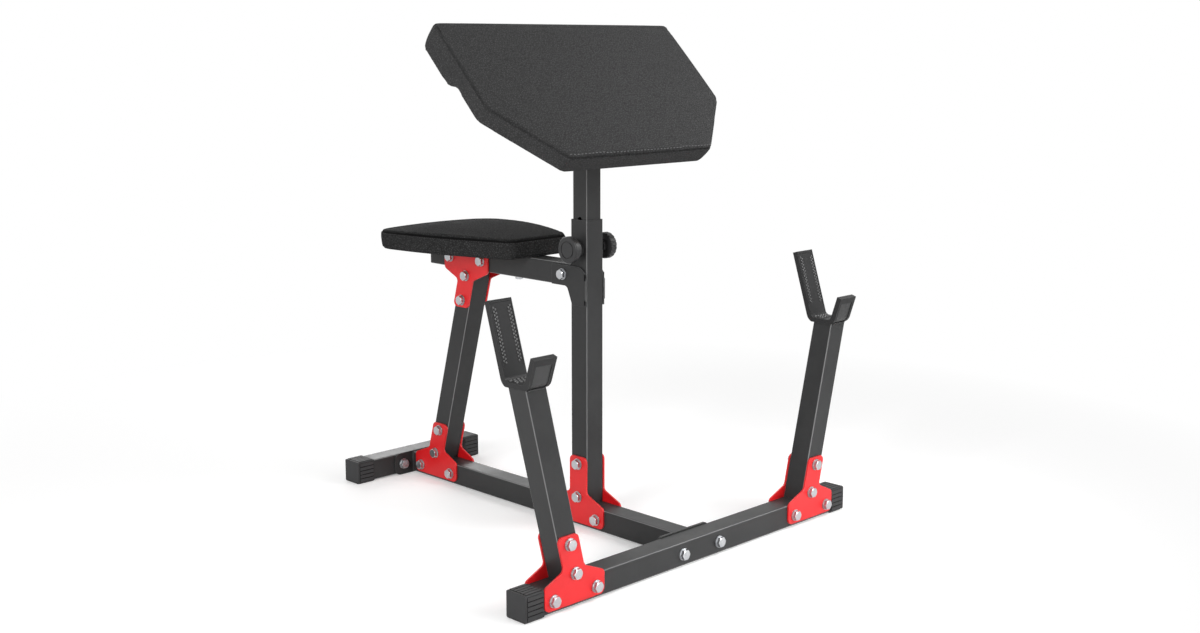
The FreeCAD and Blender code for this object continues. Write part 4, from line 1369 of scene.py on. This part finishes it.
@dataclass
class FloorFrame:
    """Crossbar, spine and foot bar with their caps, plates, the leg and the threads of all the bolts."""

    kit: Kit
    tube: float = 40.0 * MM
    corner: float = 2.5 * MM
    weld_size: float = 3.6 * MM
    bolts: tuple[str, ...] = ("front_flange_bolts", "rear_flange_bolts", "leg_base_bolts", "leg_top_bolts",
                              "post_bolts", "seat_bracket_bolt", "left_upright_bolts", "right_upright_bolts")
    bolt_radius: float = 5.0 * MM
    bolt_stub: float = 3.0 * MM
    plain_share: float = 1.2
    thread_pitch: float = 1.1 * MM
    thread_depth: float = 0.385 * MM
    thread_start: float = 0.4 * MM
    thread_end: float = 0.5 * MM
    caps: tuple[str, ...] = ("front_cap_left", "front_cap_right", "rear_cap_left", "rear_cap_right")
    groove_count: int = 4
    groove_pitch: float = 7.7 * MM
    groove_depth: float = 0.8 * MM
    # Radius of the black strips that paint shadow in the caps' grooves.
    groove_shadow_radius: float = 0.66 * MM
    groove_outer: float = 4.0 * MM
    groove_inner: float = 2.0 * MM

    def build(self) -> None:
        """Dresses the floor frame and adds its welds, threads and the painted shadow strips in the caps' grooves."""
        palette = self.kit.palette
        dress(palette.black_tube, "front_crossbar", "rear_foot_bar", "base_spine", "seat_leg")
        dress(palette.black_plate, "spine_front_flange", "spine_rear_flange")
        dress(palette.rubber, *self.caps)
        dress(palette.red_coat, "leg_base_gusset_left", "leg_base_gusset_right")
        dress(palette.zinc, "front_flange_bolts", "rear_flange_bolts", "leg_base_bolts", "frame_washers", "frame_nuts")
        self.flange_welds()
        runs = [self.stub_run(solid) for node in self.bolts for solid in solids_of(node)]
        self.kit.row(self.kit.threads, "frame_bolt_threads", runs, palette.zinc, "zinc", Pitch=self.thread_pitch,
                     Radius=self.bolt_radius, Depth=self.thread_depth)
        self.cap_groove_shadows()

    def flange_welds(self) -> None:
        """Welds round the spine's ends, where they stand on their flanges."""
        low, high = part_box("base_spine")
        middle = (low.z + high.z) / 2
        section = Plan.square(self.tube, self.corner).loop(0.0, 0.0)
        rings = [[Vector((p.x, y, middle + p.y)) for p in section] for y in (low.y, high.y)]
        self.kit.weld("spine_flange_welds", rings, self.weld_size, closed=True)

    def stub_run(self, points: np.ndarray) -> list[Vector]:
        """Finds the end of a bolt that stands out of its nut.

        Args:
            points: Points of a bolt along X or Y.

        Returns:
            The ends of its threaded stretch.
        """
        low, high = points.min(axis=0), points.max(axis=0)
        middle = (low + high) / 2
        along = int(np.argmax(high - low))
        others = [k for k in range(3) if k != along]
        reach = np.linalg.norm(points[:, others] - middle[others], axis=1)
        low_end = reach[points[:, along] < low[along] + self.bolt_stub].max()
        tip, way = Vector(middle), Vector((0.0, 0.0, 0.0))
        if low_end < self.bolt_radius * self.plain_share:
            tip[along], way[along] = low[along], -1.0
        else:
            tip[along], way[along] = high[along], 1.0
        return [tip - way * (self.bolt_stub - self.thread_start), tip - way * self.thread_end]

    def cap_groove_shadows(self) -> None:
        """Black strips at the bottoms of the grooves between the caps' ribs, on the top, the front and the rear:
        painted shadow in the grooves.
        """
        runs = []
        for cap in self.caps:
            low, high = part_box(cap)
            middle = (low + high) / 2
            margins = (self.groove_outer, self.groove_inner)
            left, right = margins if middle.x < 0.0 else margins[::-1]
            ends = (low.x + left, high.x - right)
            for k in range(self.groove_count):
                shift = (k - (self.groove_count - 1) / 2) * self.groove_pitch
                spots = ((low.y + self.groove_depth, middle.z + shift), (high.y - self.groove_depth, middle.z + shift),
                         (middle.y + shift, high.z - self.groove_depth))
                runs += [[Vector((x, y, z)) for x in ends] for y, z in spots]
        self.kit.row(self.kit.rail, "cap_groove_shadows", runs, self.kit.palette.gap, "cap_rubber", Radius=self.groove_shadow_radius)


@dataclass
class Post:
    """Main post with its foot plates and the brackets that carry the seat beam."""

    kit: Kit
    weld_size: float = 3.8 * MM
    weld_out: float = 2.2 * MM
    weld_low: float = 411.5 * MM
    weld_high: float = 445.5 * MM
    # Black strips over and under each weld paint the shadow of an open gap there.
    shadow_low: float = 403.0 * MM
    shadow_high: float = 457.5 * MM
    shadow_radius: float = 0.9 * MM
    shadow_proud: float = 0.3 * MM
    shadow_insets: tuple[float, ...] = (0.8 * MM, 2.0 * MM, 3.2 * MM)

    def build(self) -> None:
        """Dresses the post and adds the bracket welds with their painted shadow strips."""
        palette = self.kit.palette
        dress(palette.black_tube, "main_post", "seat_beam")
        dress(palette.black_plate, "seat_bracket_left", "seat_bracket_right")
        dress(palette.red_coat, "post_gusset_left", "post_gusset_right")
        dress(palette.zinc, "post_bolts", "seat_bracket_bolt")
        dress(palette.knob, "seat_beam_plug")
        self.bracket_welds()

    def bracket_welds(self) -> None:
        """A weld down each bracket's front edge, with black strips over and under it that paint the shadow of an open
        gap there.
        """
        welds, shadow_strips = [], []
        for side in Side:
            low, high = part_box(f"seat_bracket_{side.word}")
            inner, outer = (high.x, low.x) if side is Side.LEFT else (low.x, high.x)
            middle = inner + side.value * self.weld_out
            welds.append([Vector((middle, low.y, z)) for z in (self.weld_low, self.weld_high)])
            sunk = outer - side.value * (self.shadow_radius - self.shadow_proud)
            for ends in ((self.shadow_low, self.weld_low), (self.weld_high, self.shadow_high)):
                shadow_strips += [[Vector((sunk, low.y + inset, z)) for z in ends] for inset in self.shadow_insets]
        palette = self.kit.palette
        # The bracket welds wear the paler hook coat: a painted highlight along them.
        self.kit.weld("bracket_welds", welds, self.weld_size, palette.hook_coat)
        # Black strips that paint the shadow of the gaps.
        self.kit.row(self.kit.rail, "bracket_painted_shadow_strips", shadow_strips, palette.gap, "frame_black", Radius=self.shadow_radius)


@dataclass
class BarHolder:
    """One upright with its foot plates, its bar hook and the hook's moulded liner."""

    side: Side
    kit: Kit
    reach: float = 369.0 * MM
    bar_y: float = -374.25 * MM
    floor_z: float = 362.0 * MM
    probe: float = 26.0 * MM
    arm_lean: float = math.radians(17.3)
    arm_start: float = 34.0 * MM
    arm_end: float = 117.0 * MM
    row_places: tuple[float, ...] = (12.8 * MM, 16.4 * MM)
    bump_pitch: float = 5.6 * MM
    bump_along: float = 3.9 * MM
    bump_across: float = 3.2 * MM
    bump_lift: float = 0.1 * MM
    stud_halves: tuple[float, ...] = (15.0 * MM, 11.5 * MM, 15.0 * MM)
    stud_first: float = 19.0 * MM
    stud_row: float = 7.5 * MM
    stud_pitch: float = 7.4 * MM
    stud_size: float = 5.0 * MM
    stud_lift: float = 0.2 * MM
    rim_place: float = 20.4 * MM
    rim_start: float = 26.0 * MM
    rim_over: float = 8.5 * MM
    rim_radius: float = 1.2 * MM
    rim_sink: float = 0.1 * MM
    rim_step: float = 4.0 * MM
    weld_size: float = 3.6 * MM
    weld_half: float = 17.0 * MM
    weld_out: float = 20.0 * MM
    weld_z: float = 354.0 * MM

    def build(self) -> None:
        """Dresses the upright and the hook and adds bumps, rims and welds."""
        palette, word = self.kit.palette, self.side.word
        dress(palette.black_tube, f"{word}_upright")
        dress(palette.hook_coat, f"{word}_bar_hook")
        dress(palette.liner, f"{word}_hook_liner")
        dress(palette.red_coat, f"{word}_upright_front_gusset", f"{word}_upright_rear_gusset")
        dress(palette.zinc, f"{word}_upright_bolts")
        self.surface = node_surface(f"{word}_hook_liner")
        self.arm_bumps()
        self.bend_studs()
        self.rim()
        self.weld()

    @property
    def middle(self) -> float:
        """Place of the hook along the crossbar."""
        return self.side.value * self.reach

    def on_arm(self, across: float, up: float, lift: float) -> Vector:
        """Finds a point on the liner's inner face.

        Args:
            across: Distance from the hook's middle.
            up: Height over the hook's floor, along the arm.
            lift: Height over the face.

        Returns:
            The point.
        """
        way = Vector((0.0, math.sin(self.arm_lean), math.cos(self.arm_lean)))
        inward = Vector((0.0, -math.cos(self.arm_lean), math.sin(self.arm_lean)))
        start = Vector((self.middle + across, self.bar_y, self.floor_z)) + way * up
        return self.surface.ray_cast(start, -inward)[0] + inward * lift

    def on_floor(self, across: float, y: float, lift: float) -> Vector:
        """Finds a point on the liner under a place inside the hook.

        Args:
            across: Distance from the hook's middle.
            y: Place along the bench.
            lift: Height over the liner.

        Returns:
            The point.
        """
        start = Vector((self.middle + across, y, self.floor_z + self.probe))
        spot, normal, _, _ = self.surface.ray_cast(start, Vector((0.0, 0.0, -1.0)))
        return spot + normal * lift

    def arm_bumps(self) -> None:
        """Two rows of small ovals near each long edge of the arm, in the paler stud plastic that paints a highlight on
        them.
        """
        runs = []
        for sign in (-1, 1):
            for k, place in enumerate(self.row_places):
                shift = k * self.bump_pitch / 2
                ends = (self.arm_start + shift, self.arm_end - self.bump_pitch / 2 + shift)
                runs.append([self.on_arm(sign * place, up, self.bump_lift) for up in ends])
        self.kit.row(self.kit.beads, f"{self.side.word}_liner_bumps", runs, self.kit.palette.liner_stud_highlight, "liner_black",
                     Pitch=self.bump_pitch, Along=self.bump_along, Across=self.bump_across)

    def bend_studs(self) -> None:
        """Rows of coarser studs across the bend between arm and floor, in the paler stud plastic that paints a
        highlight on them.
        """
        runs = []
        for row, half in enumerate(self.stud_halves):
            y = self.bar_y + self.stud_first - self.stud_row * row
            runs.append([self.on_floor(x, y, self.stud_lift) for x in (-half, half)])
        self.kit.row(self.kit.beads, f"{self.side.word}_liner_studs", runs, self.kit.palette.liner_stud_highlight, "liner_black",
                     Pitch=self.stud_pitch, Along=self.stud_size, Across=self.stud_size)

    def rim(self) -> None:
        """Thin raised rim down both long edges of the arm and across its tip."""
        low, top, place = self.rim_start, self.arm_end + self.rim_over, self.rim_place
        corners = ((-place, low), (-place, top), (place, top), (place, low))
        run = divided([self.on_arm(across, up, -self.rim_sink) for across, up in corners], self.rim_step)
        self.kit.row(self.kit.rail, f"{self.side.word}_liner_rim", [run], self.kit.palette.liner, "liner_black",
                     Radius=self.rim_radius)

    def weld(self) -> None:
        """Welds the hook's strip to the upright, along the tube's front and rear."""
        ends = (self.middle - self.weld_half, self.middle + self.weld_half)
        runs = [[Vector((x, y, self.weld_z)) for x in ends]
                for y in (self.bar_y - self.weld_out, self.bar_y + self.weld_out)]
        self.kit.weld(f"{self.side.word}_hook_welds", runs, self.weld_size)


@dataclass
class Seat:
    """Seat cushion on its board, over the beam and the leg's top plates."""

    kit: Kit
    board_z: float = 472.5 * MM
    beam_gap: float = 25.0 * MM
    edge_lap: float = 8.0 * MM
    rim_height: float = 14.0 * MM
    rim_fuller: float = 2.0 * MM
    seam: Seam = Seam(1.3 * MM, 2.6 * MM, 7.0 * MM)
    seam_inset: float = 1.0 * MM
    seam_z: float = 505.0 * MM
    stitch_drop: float = 3.0 * MM
    stitch_lift: float = 0.1 * MM
    stitch_pitch: float = 5.0 * MM
    stitch_along: float = 3.4 * MM
    stitch_across: float = 0.8 * MM
    plan: Plan = Plan(((144.0 * MM, 311.75 * MM), (-144.0 * MM, 311.75 * MM), (-128.0 * MM, 167.75 * MM),
                       (-71.0 * MM, -1.25 * MM), (71.0 * MM, -1.25 * MM), (128.0 * MM, 167.75 * MM)),
                      (36.0 * MM, 36.0 * MM, 700.0 * MM, 26.0 * MM, 26.0 * MM, 700.0 * MM), 10)

    def build(self) -> None:
        """Makes the cushion, its seam and stitches and the stapled hem under it."""
        palette = self.kit.palette
        dress(palette.red_coat, "leg_top_gusset_left", "leg_top_gusset_right")
        dress(palette.zinc, "leg_top_bolts", "seat_screws", "seat_inserts")
        dress(palette.seat_ply, "seat_board")
        self.cushion()
        self.hem()

    def cushion(self) -> None:
        """Swells the cushion between its seam and its board and stitches it."""
        cushion = Cushion("seat_cushion", "seat_pad", "seat_board", Matrix.Identity(4))
        path = self.plan.loop(self.seam_inset, self.seam_z)
        cushion.inflate(path, self.board_z)
        rims = lambda spot: spot.z < self.board_z + self.rim_height
        cushion.fit(self.rim_fuller, lambda spot: True, rims)
        cushion.soothe(2, rims)
        cushion.sew(path, self.seam)
        below = divided(self.plan.loop(self.seam_inset, self.seam_z - self.stitch_drop), self.seam.step)
        stitches = cushion.onto(below, self.stitch_lift)
        piece = cushion.place(self.kit.palette.seat_vinyl)
        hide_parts("seat_pad")
        self.kit.keep(piece, "seat_vinyl")
        self.kit.row(self.kit.beads, "seat_stitches", [stitches], self.kit.palette.dark_thread, "seat_vinyl",
                     closed=True, Pitch=self.stitch_pitch, Along=self.stitch_along, Across=self.stitch_across)

    def hem(self) -> None:
        """The cover's edge under the board, stapled, which ends at the board's edge over the beam."""
        hem = CoverHem(self.kit, self.kit.palette.seat_vinyl, "seat_vinyl", "bench_frame", self.plan, self.board_z,
                       Matrix.Identity(4))
        clear = lambda p: abs(p.x) > self.beam_gap
        hem.sheet("seat_cover_hem", clear)
        hem.sheet("seat_cover_edge", lambda p: abs(p.x) < self.beam_gap + self.edge_lap, under=False)
        hem.staples("seat_staples", clear)


@dataclass
class ArmRest:
    """Sloping arm pad on its board, plate and inner post."""

    kit: Kit
    slope: float = ARM_SLOPE
    origin: Vector = field(default_factory=lambda: Vector((0.0, -59.95 * MM, 883.3 * MM)))
    half_width: float = 277.0 * MM
    front_half_width: float = 169.0 * MM
    side_length: float = 178.0 * MM
    length: float = 290.0 * MM
    side_round: float = 22.0 * MM
    front_round: float = 15.0 * MM
    face_corner: float = 2.0 * MM
    hem_corner: float = 3.0 * MM
    past_nose: float = 60.0 * MM
    nose: float = 12.0 * MM
    nose_round: float = 24.0 * MM
    roll_depth: float = 56.0 * MM
    roll_round: float = 20.0 * MM
    roll_end: float = -84.0 * MM
    roll_seam: float = 8.0 * MM
    arc_steps: int = 8
    step_end: float = -102.0 * MM
    step_half: float = 26.0 * MM
    low_half: float = -20.0 * MM
    board_z: float = -38.0 * MM
    rim_from: float = 12.0 * MM
    rim_fuller: float = 2.4 * MM
    seam: Seam = Seam(2.4 * MM, 1.9 * MM, 8.0 * MM, 1.0 * MM)
    seam_inset: float = 1.0 * MM
    seam_z: float = -3.5 * MM
    creases: tuple[tuple[float, float], ...] = ((-10.0 * MM, -46.0 * MM), (-1.0 * MM, -33.0 * MM),
                                                (2.0 * MM, -16.0 * MM))
    crease_depth: float = 1.6 * MM
    crease_width: float = 5.0 * MM
    stitch_inset: float = 3.4 * MM
    stitch_z: float = 1.0 * MM
    stitch_end: float = -284.0 * MM
    stitch_lift: float = 0.15 * MM
    stitch_pitch: float = 8.0 * MM
    stitch_along: float = 5.0 * MM
    stitch_across: float = 1.0 * MM
    plate_gap: float = 66.0 * MM
    plate_low: float = -200.0 * MM
    plate_z: float = -42.0 * MM
    post: float = 35.0 * MM
    post_corner: float = 2.5 * MM
    post_y: float = -122.25 * MM
    weld_size: float = 3.6 * MM

    @property
    def flat(self) -> Matrix:
        """Frame in which the pad's face lies level."""
        return Matrix.Translation(self.origin) @ Matrix.Rotation(self.slope, 4, "X")

    def build(self) -> None:
        """Makes the pad, its seams and stitches, the hem under it and the welds below."""
        palette = self.kit.palette
        dress(palette.black_tube, "inner_post")
        dress(palette.black_plate, "arm_mount_plate", "arm_mount_rib")
        dress(palette.arm_ply, "arm_pad_board")
        dress(palette.zinc, "arm_pad_screws", "arm_pad_inserts")
        self.pad()
        self.hem()
        self.post_weld()

    def plan(self, top: float, corner: float) -> Plan:
        """Outline of the pad below a height, with its low corners cut.

        Args:
            top: Where the outline ends.
            corner: Radius of its two corners there.

        Returns:
            The outline.
        """
        w, f, side, front = self.half_width, self.front_half_width, -self.side_length, -self.length
        return Plan(((w, top), (-w, top), (-w, side), (-f, front), (f, front), (w, side)),
                    (corner, corner, self.side_round, self.front_round, self.front_round, self.side_round))

    def face_run(self, inset: float, z: float) -> list[Vector]:
        """Run along the left side, the cut corners, the front and the right side of the face.

        Args:
            inset: How far inside the pad's outline the run lies.
            z: Its height over the face.

        Returns:
            Points from the left end of the nose to the right end.
        """
        loop = self.plan(self.past_nose, self.face_corner).loop(inset, z)
        kept = [p for p in loop if p.y < self.nose - self.nose_round]
        first = next(k for k in range(len(kept)) if kept[k].x < 0.0)
        return kept[first:] + kept[:first]

    def end_run(self, side: Side, inset: float) -> list[Vector]:
        """Run round the end of the roll, from the face over the nose to the underside.

        Args:
            side: Which end.
            inset: How far inside the pad's end the run lies.

        Returns:
            Points from the face to the underside.
        """
        x = side.value * (self.half_width - inset)
        run = []
        rounds = ((self.nose_round, -self.nose_round, 90.0), (self.roll_round, self.roll_round - self.roll_depth, 0.0))
        for radius, z, start in rounds:
            for k in range(self.arc_steps + 1):
                angle = math.radians(start - 90.0 * k / self.arc_steps)
                run.append(Vector((x, self.nose - radius + radius * math.cos(angle), z + radius * math.sin(angle))))
        return run + [Vector((x, self.roll_end + self.roll_seam, -self.roll_depth))]

    def seam_run(self) -> list[Vector]:
        """The whole seam: round one end of the roll, along the face's edge and round the other end."""
        left, right = (self.end_run(side, self.seam_inset) for side in Side)
        return left[::-1] + self.face_run(self.seam_inset, self.seam_z) + right

    def pad(self) -> None:
        """Swells the pad between its seams and its board, and creases and stitches it."""
        cushion = Cushion("arm_cushion", "arm_pad", "arm_pad_board", self.flat)
        path = self.seam_run()
        cushion.inflate(path, self.board_z)
        step = (self.roll_end + self.step_end) / 2
        in_step = lambda spot: abs(spot.y - step) < self.step_half and spot.z < self.low_half
        rims = lambda spot: spot.y < self.step_end - self.rim_from and spot.z < self.low_half
        cushion.fit(self.rim_fuller, lambda spot: not in_step(spot), rims)
        cushion.soothe(2, rims)
        cushion.soothe(6, in_step)
        cushion.sew(path, self.seam)
        for side in Side:
            fold = [Vector((side.value * self.half_width, self.roll_end + y, z)) for y, z in self.creases]
            cushion.draw_in(cushion.onto(divided(fold, self.seam.step)), self.crease_depth, self.crease_width)
        sewn = divided(self.face_run(self.seam_inset + self.stitch_inset, self.stitch_z), self.seam.step)
        stitches = cushion.onto([p for p in sewn if p.y < self.stitch_end], self.stitch_lift)
        piece = cushion.place(self.kit.palette.arm_vinyl)
        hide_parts("arm_pad")
        self.kit.keep(piece, "arm_vinyl", "arm_rest")
        self.kit.row(self.kit.beads, "arm_stitches", [[self.flat @ p for p in stitches]], self.kit.palette.thread,
                     "arm_vinyl", "arm_rest", Pitch=self.stitch_pitch, Along=self.stitch_along,
                     Across=self.stitch_across)

    def hem(self) -> None:
        """The cover's edge under the board, stapled, with room for the mounting plate."""
        hem = CoverHem(self.kit, self.kit.palette.arm_vinyl, "arm_vinyl", "arm_rest",
                       self.plan(self.step_end, self.hem_corner), self.board_z, self.flat)
        clear = lambda p: abs(p.x) > self.plate_gap or p.y < self.plate_low
        hem.sheet("arm_cover_hem", clear)
        hem.staples("arm_staples", clear)

    def post_weld(self) -> None:
        """Weld round the inner post's top, under the sloping plate."""
        under = self.flat @ Vector((0.0, 0.0, self.plate_z))
        out = self.flat.to_3x3() @ Vector((0.0, 0.0, 1.0))
        ring = []
        for p in Plan.square(self.post, self.post_corner).loop(0.0, 0.0):
            y = self.post_y + p.y
            ring.append(Vector((p.x, y, under.z - (y - under.y) * out.y / out.z)))
        self.kit.weld("plate_post_weld", [ring], self.weld_size, body="arm_rest", closed=True)


@dataclass
class HeightLock:
    """Pull pin in its barrel on the left of the post and the clamp screw on the right."""

    kit: Kit
    axis_y: float = -122.25 * MM
    axis_z: float = 501.0 * MM
    face: float = 20.0 * MM
    barrel_radius: float = 11.5 * MM
    nut_radius: float = 9.2 * MM
    weld_size: float = 3.0 * MM
    weld_steps: int = 36
    pull: float = 10.05 * MM
    wire: float = 1.0 * MM
    turns: int = 6
    turn_steps: int = 20

    def build(self) -> None:
        """Dresses the lock and adds the welds of barrel and nut and the pin's spring."""
        palette = self.kit.palette
        dress(palette.black_plate, "pull_pin_barrel", "clamp_nut")
        dress(palette.knob, "pull_pin_knob", "clamp_knob")
        dress(palette.steel, "pull_pin_shaft", "clamp_stud")
        dress(palette.nylon, "clamp_tip")
        rings = [[self.around(side.value * self.face, radius, k / self.weld_steps) for k in range(self.weld_steps)]
                 for side, radius in ((Side.LEFT, self.barrel_radius), (Side.RIGHT, self.nut_radius))]
        self.kit.weld("lock_welds", rings, self.weld_size, closed=True)
        self.spring()

    def around(self, x: float, radius: float, turn: float) -> Vector:
        """Point round the lock's axis, after a share of a turn."""
        angle = 2 * math.pi * turn
        return Vector((x, self.axis_y + radius * math.cos(angle), self.axis_z + radius * math.sin(angle)))

    def spring(self) -> None:
        """Spring round the pin, laid as a still coil in the imported spring's place; on the real pin it gives way
        towards the barrel's end as the pin is pulled.
        """
        outer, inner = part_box("pull_pin_spring")
        thin = self.wire / 2
        radius = (inner.y - outer.y) / 2 - thin
        steps = self.turns * self.turn_steps
        rise = (inner.x - outer.x - self.wire) / steps
        run = [self.around(outer.x + thin + rise * k, radius, k / self.turn_steps) for k in range(steps + 1)]
        coil = self.kit.rail.lay(polyline("pull_pin_coil", [run]), self.kit.palette.steel, Radius=thin)
        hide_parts("pull_pin_spring")
        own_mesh(coil)
        self.kit.keep(coil, "pin_steel")


# Studio

@dataclass(frozen=True)
class Lamp:
    """A soft box that looks at a place on the bench."""

    name: str
    place: XYZ
    wide: float
    tall: float
    watts: float
    aim: XYZ = (0.0, -0.1, 0.45)
    spread: float = 180.0

    def build(self) -> None:
        """Stands the lamp in the scene, where the camera doesn't see it."""
        data = bpy.data.lights.new(self.name, "AREA")
        data.shape = "RECTANGLE"
        data.size = self.wide
        data.size_y = self.tall
        data.energy = self.watts
        data.spread = math.radians(self.spread)
        lamp = new_object(self.name, data)
        lamp.location = self.place
        lamp.visible_camera = False
        lamp.rotation_euler = (Vector(self.aim) - Vector(self.place)).to_track_quat("-Z", "Y").to_euler()


@dataclass
class Studio:
    """Pale floor, soft light and the camera of the photograph."""

    eye: XYZ = (-1.7964, -1.96365, 0.8544)
    heading: float = math.radians(44.801)
    pitch: float = math.radians(8.633)
    lens: float = 44.555
    sensor: float = 36.0
    shift: float = -0.04
    world_light: float = 0.30
    floor_half: float = 12.0
    floor_color: RGB = (0.84, 0.84, 0.84)
    floor_lift: float = 0.24
    floor_fade: tuple[float, float] = (0.7, 1.6)
    lamps: tuple[Lamp, ...] = (
        Lamp("key_light", (-2.9, -1.0, 1.5), 1.2, 1.2, 66.0),
        Lamp("pad_light", (0.5, -0.75, 1.1), 0.5, 0.5, 5.0, (0.12, -0.25, 0.7)),
        Lamp("front_strip", (-1.7, -2.6, 0.55), 0.3, 1.1, 5.0),
        Lamp("low_fill", (0.2, -1.1, 0.28), 1.1, 0.2, 1.5, (0.0, -0.4, 0.05), 70.0),
        Lamp("fill_light", (1.7, -2.2, 0.9), 0.8, 0.8, 5.0),
        Lamp("top_light", (0.2, 0.1, 3.2), 1.8, 1.8, 18.0),
        Lamp("back_light", (0.8, 2.6, 1.8), 1.6, 1.6, 24.0),
        Lamp("low_back", (1.7, 2.65, 0.9), 0.9, 0.9, 8.0, (-0.1, 0.38, 0.05)),
    )

    def build(self) -> None:
        """Makes the camera, the lights, the floor and the surrounding white."""
        bpy.context.scene.view_settings.view_transform = "Standard"
        self.camera()
        self.world()
        self.floor()
        for lamp in self.lamps:
            lamp.build()

    def camera(self) -> None:
        """Stands the camera where the photograph was taken."""
        data = bpy.data.cameras.new("camera")
        data.sensor_width = self.sensor
        data.lens = self.lens
        data.shift_y = self.shift
        camera = new_object("camera", data)
        level = math.cos(self.pitch)
        ahead = Vector((math.sin(self.heading) * level, math.cos(self.heading) * level, -math.sin(self.pitch)))
        camera.location = self.eye
        camera.rotation_euler = ahead.to_track_quat("-Z", "Y").to_euler()
        bpy.context.scene.camera = camera

    def seen_white(self, graph: Graph) -> Socket:
        """Tells the rays that show the background itself: camera, mirror and glass rays.

        Args:
            graph: Graph of the world or the floor.

        Returns:
            One for these rays, or else zero.
        """
        rays = graph.add("ShaderNodeLightPath").outputs
        shown = graph.math("MAXIMUM", rays["Is Camera Ray"], rays["Is Glossy Ray"])
        return graph.math("MAXIMUM", shown, rays["Is Transmission Ray"])

    def world(self) -> None:
        """White surroundings that light the bench softly."""
        world = bpy.data.worlds.new("surround")
        bpy.context.scene.world = world
        graph = Graph.of(world)
        strength = graph.remap(self.seen_white(graph), 0.0, 1.0, self.world_light)
        white = graph.add("ShaderNodeBackground", {"Color": rgba(grey(1.0)), "Strength": strength})
        graph.add("ShaderNodeOutputWorld", {"Surface": white.outputs[0]})

    def floor(self) -> None:
        """White floor that keeps the bench's shadow and fades into the background."""
        h = self.floor_half
        mesh = bpy.data.meshes.new("floor")
        mesh.from_pydata([(-h, -h, 0), (h, -h, 0), (h, h, 0), (-h, h, 0)], [], [(0, 1, 2, 3)])
        floor = new_object("floor", mesh)
        material = bpy.data.materials.new("studio_floor")
        graph = Graph.of(material)
        away = graph.add("ShaderNodeVectorMath", {0: graph.point()}, operation="LENGTH").outputs["Value"]
        seen = self.seen_white(graph)
        far = graph.times(seen, graph.remap(away, *self.floor_fade))
        soft = graph.add("ShaderNodeBsdfDiffuse", {"Color": rgba(self.floor_color)})
        lift = graph.add("ShaderNodeEmission", {"Strength": graph.times(seen, self.floor_lift)})
        lit = graph.add("ShaderNodeAddShader", {0: soft.outputs[0], 1: lift.outputs[0]})
        white = graph.add("ShaderNodeEmission", {"Strength": 1.0})
        mixed = graph.add("ShaderNodeMixShader", {0: far, 1: lit.outputs[0], 2: white.outputs[0]})
        graph.add("ShaderNodeOutputMaterial", {"Surface": mixed.outputs[0]})
        mesh.materials.append(material)


def main() -> None:
    """Builds the looks of the bench around its frame, one sub-assembly after another."""
    logging.basicConfig(level=logging.INFO, format="%(name)s: %(message)s")
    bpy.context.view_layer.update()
    kit = Kit()
    FloorFrame(kit).build()
    Post(kit).build()
    for side in Side:
        BarHolder(side, kit).build()
    Seat(kit).build()
    ArmRest(kit).build()
    HeightLock(kit).build()
    Studio().build()


if __name__ == "__main__":
    main()
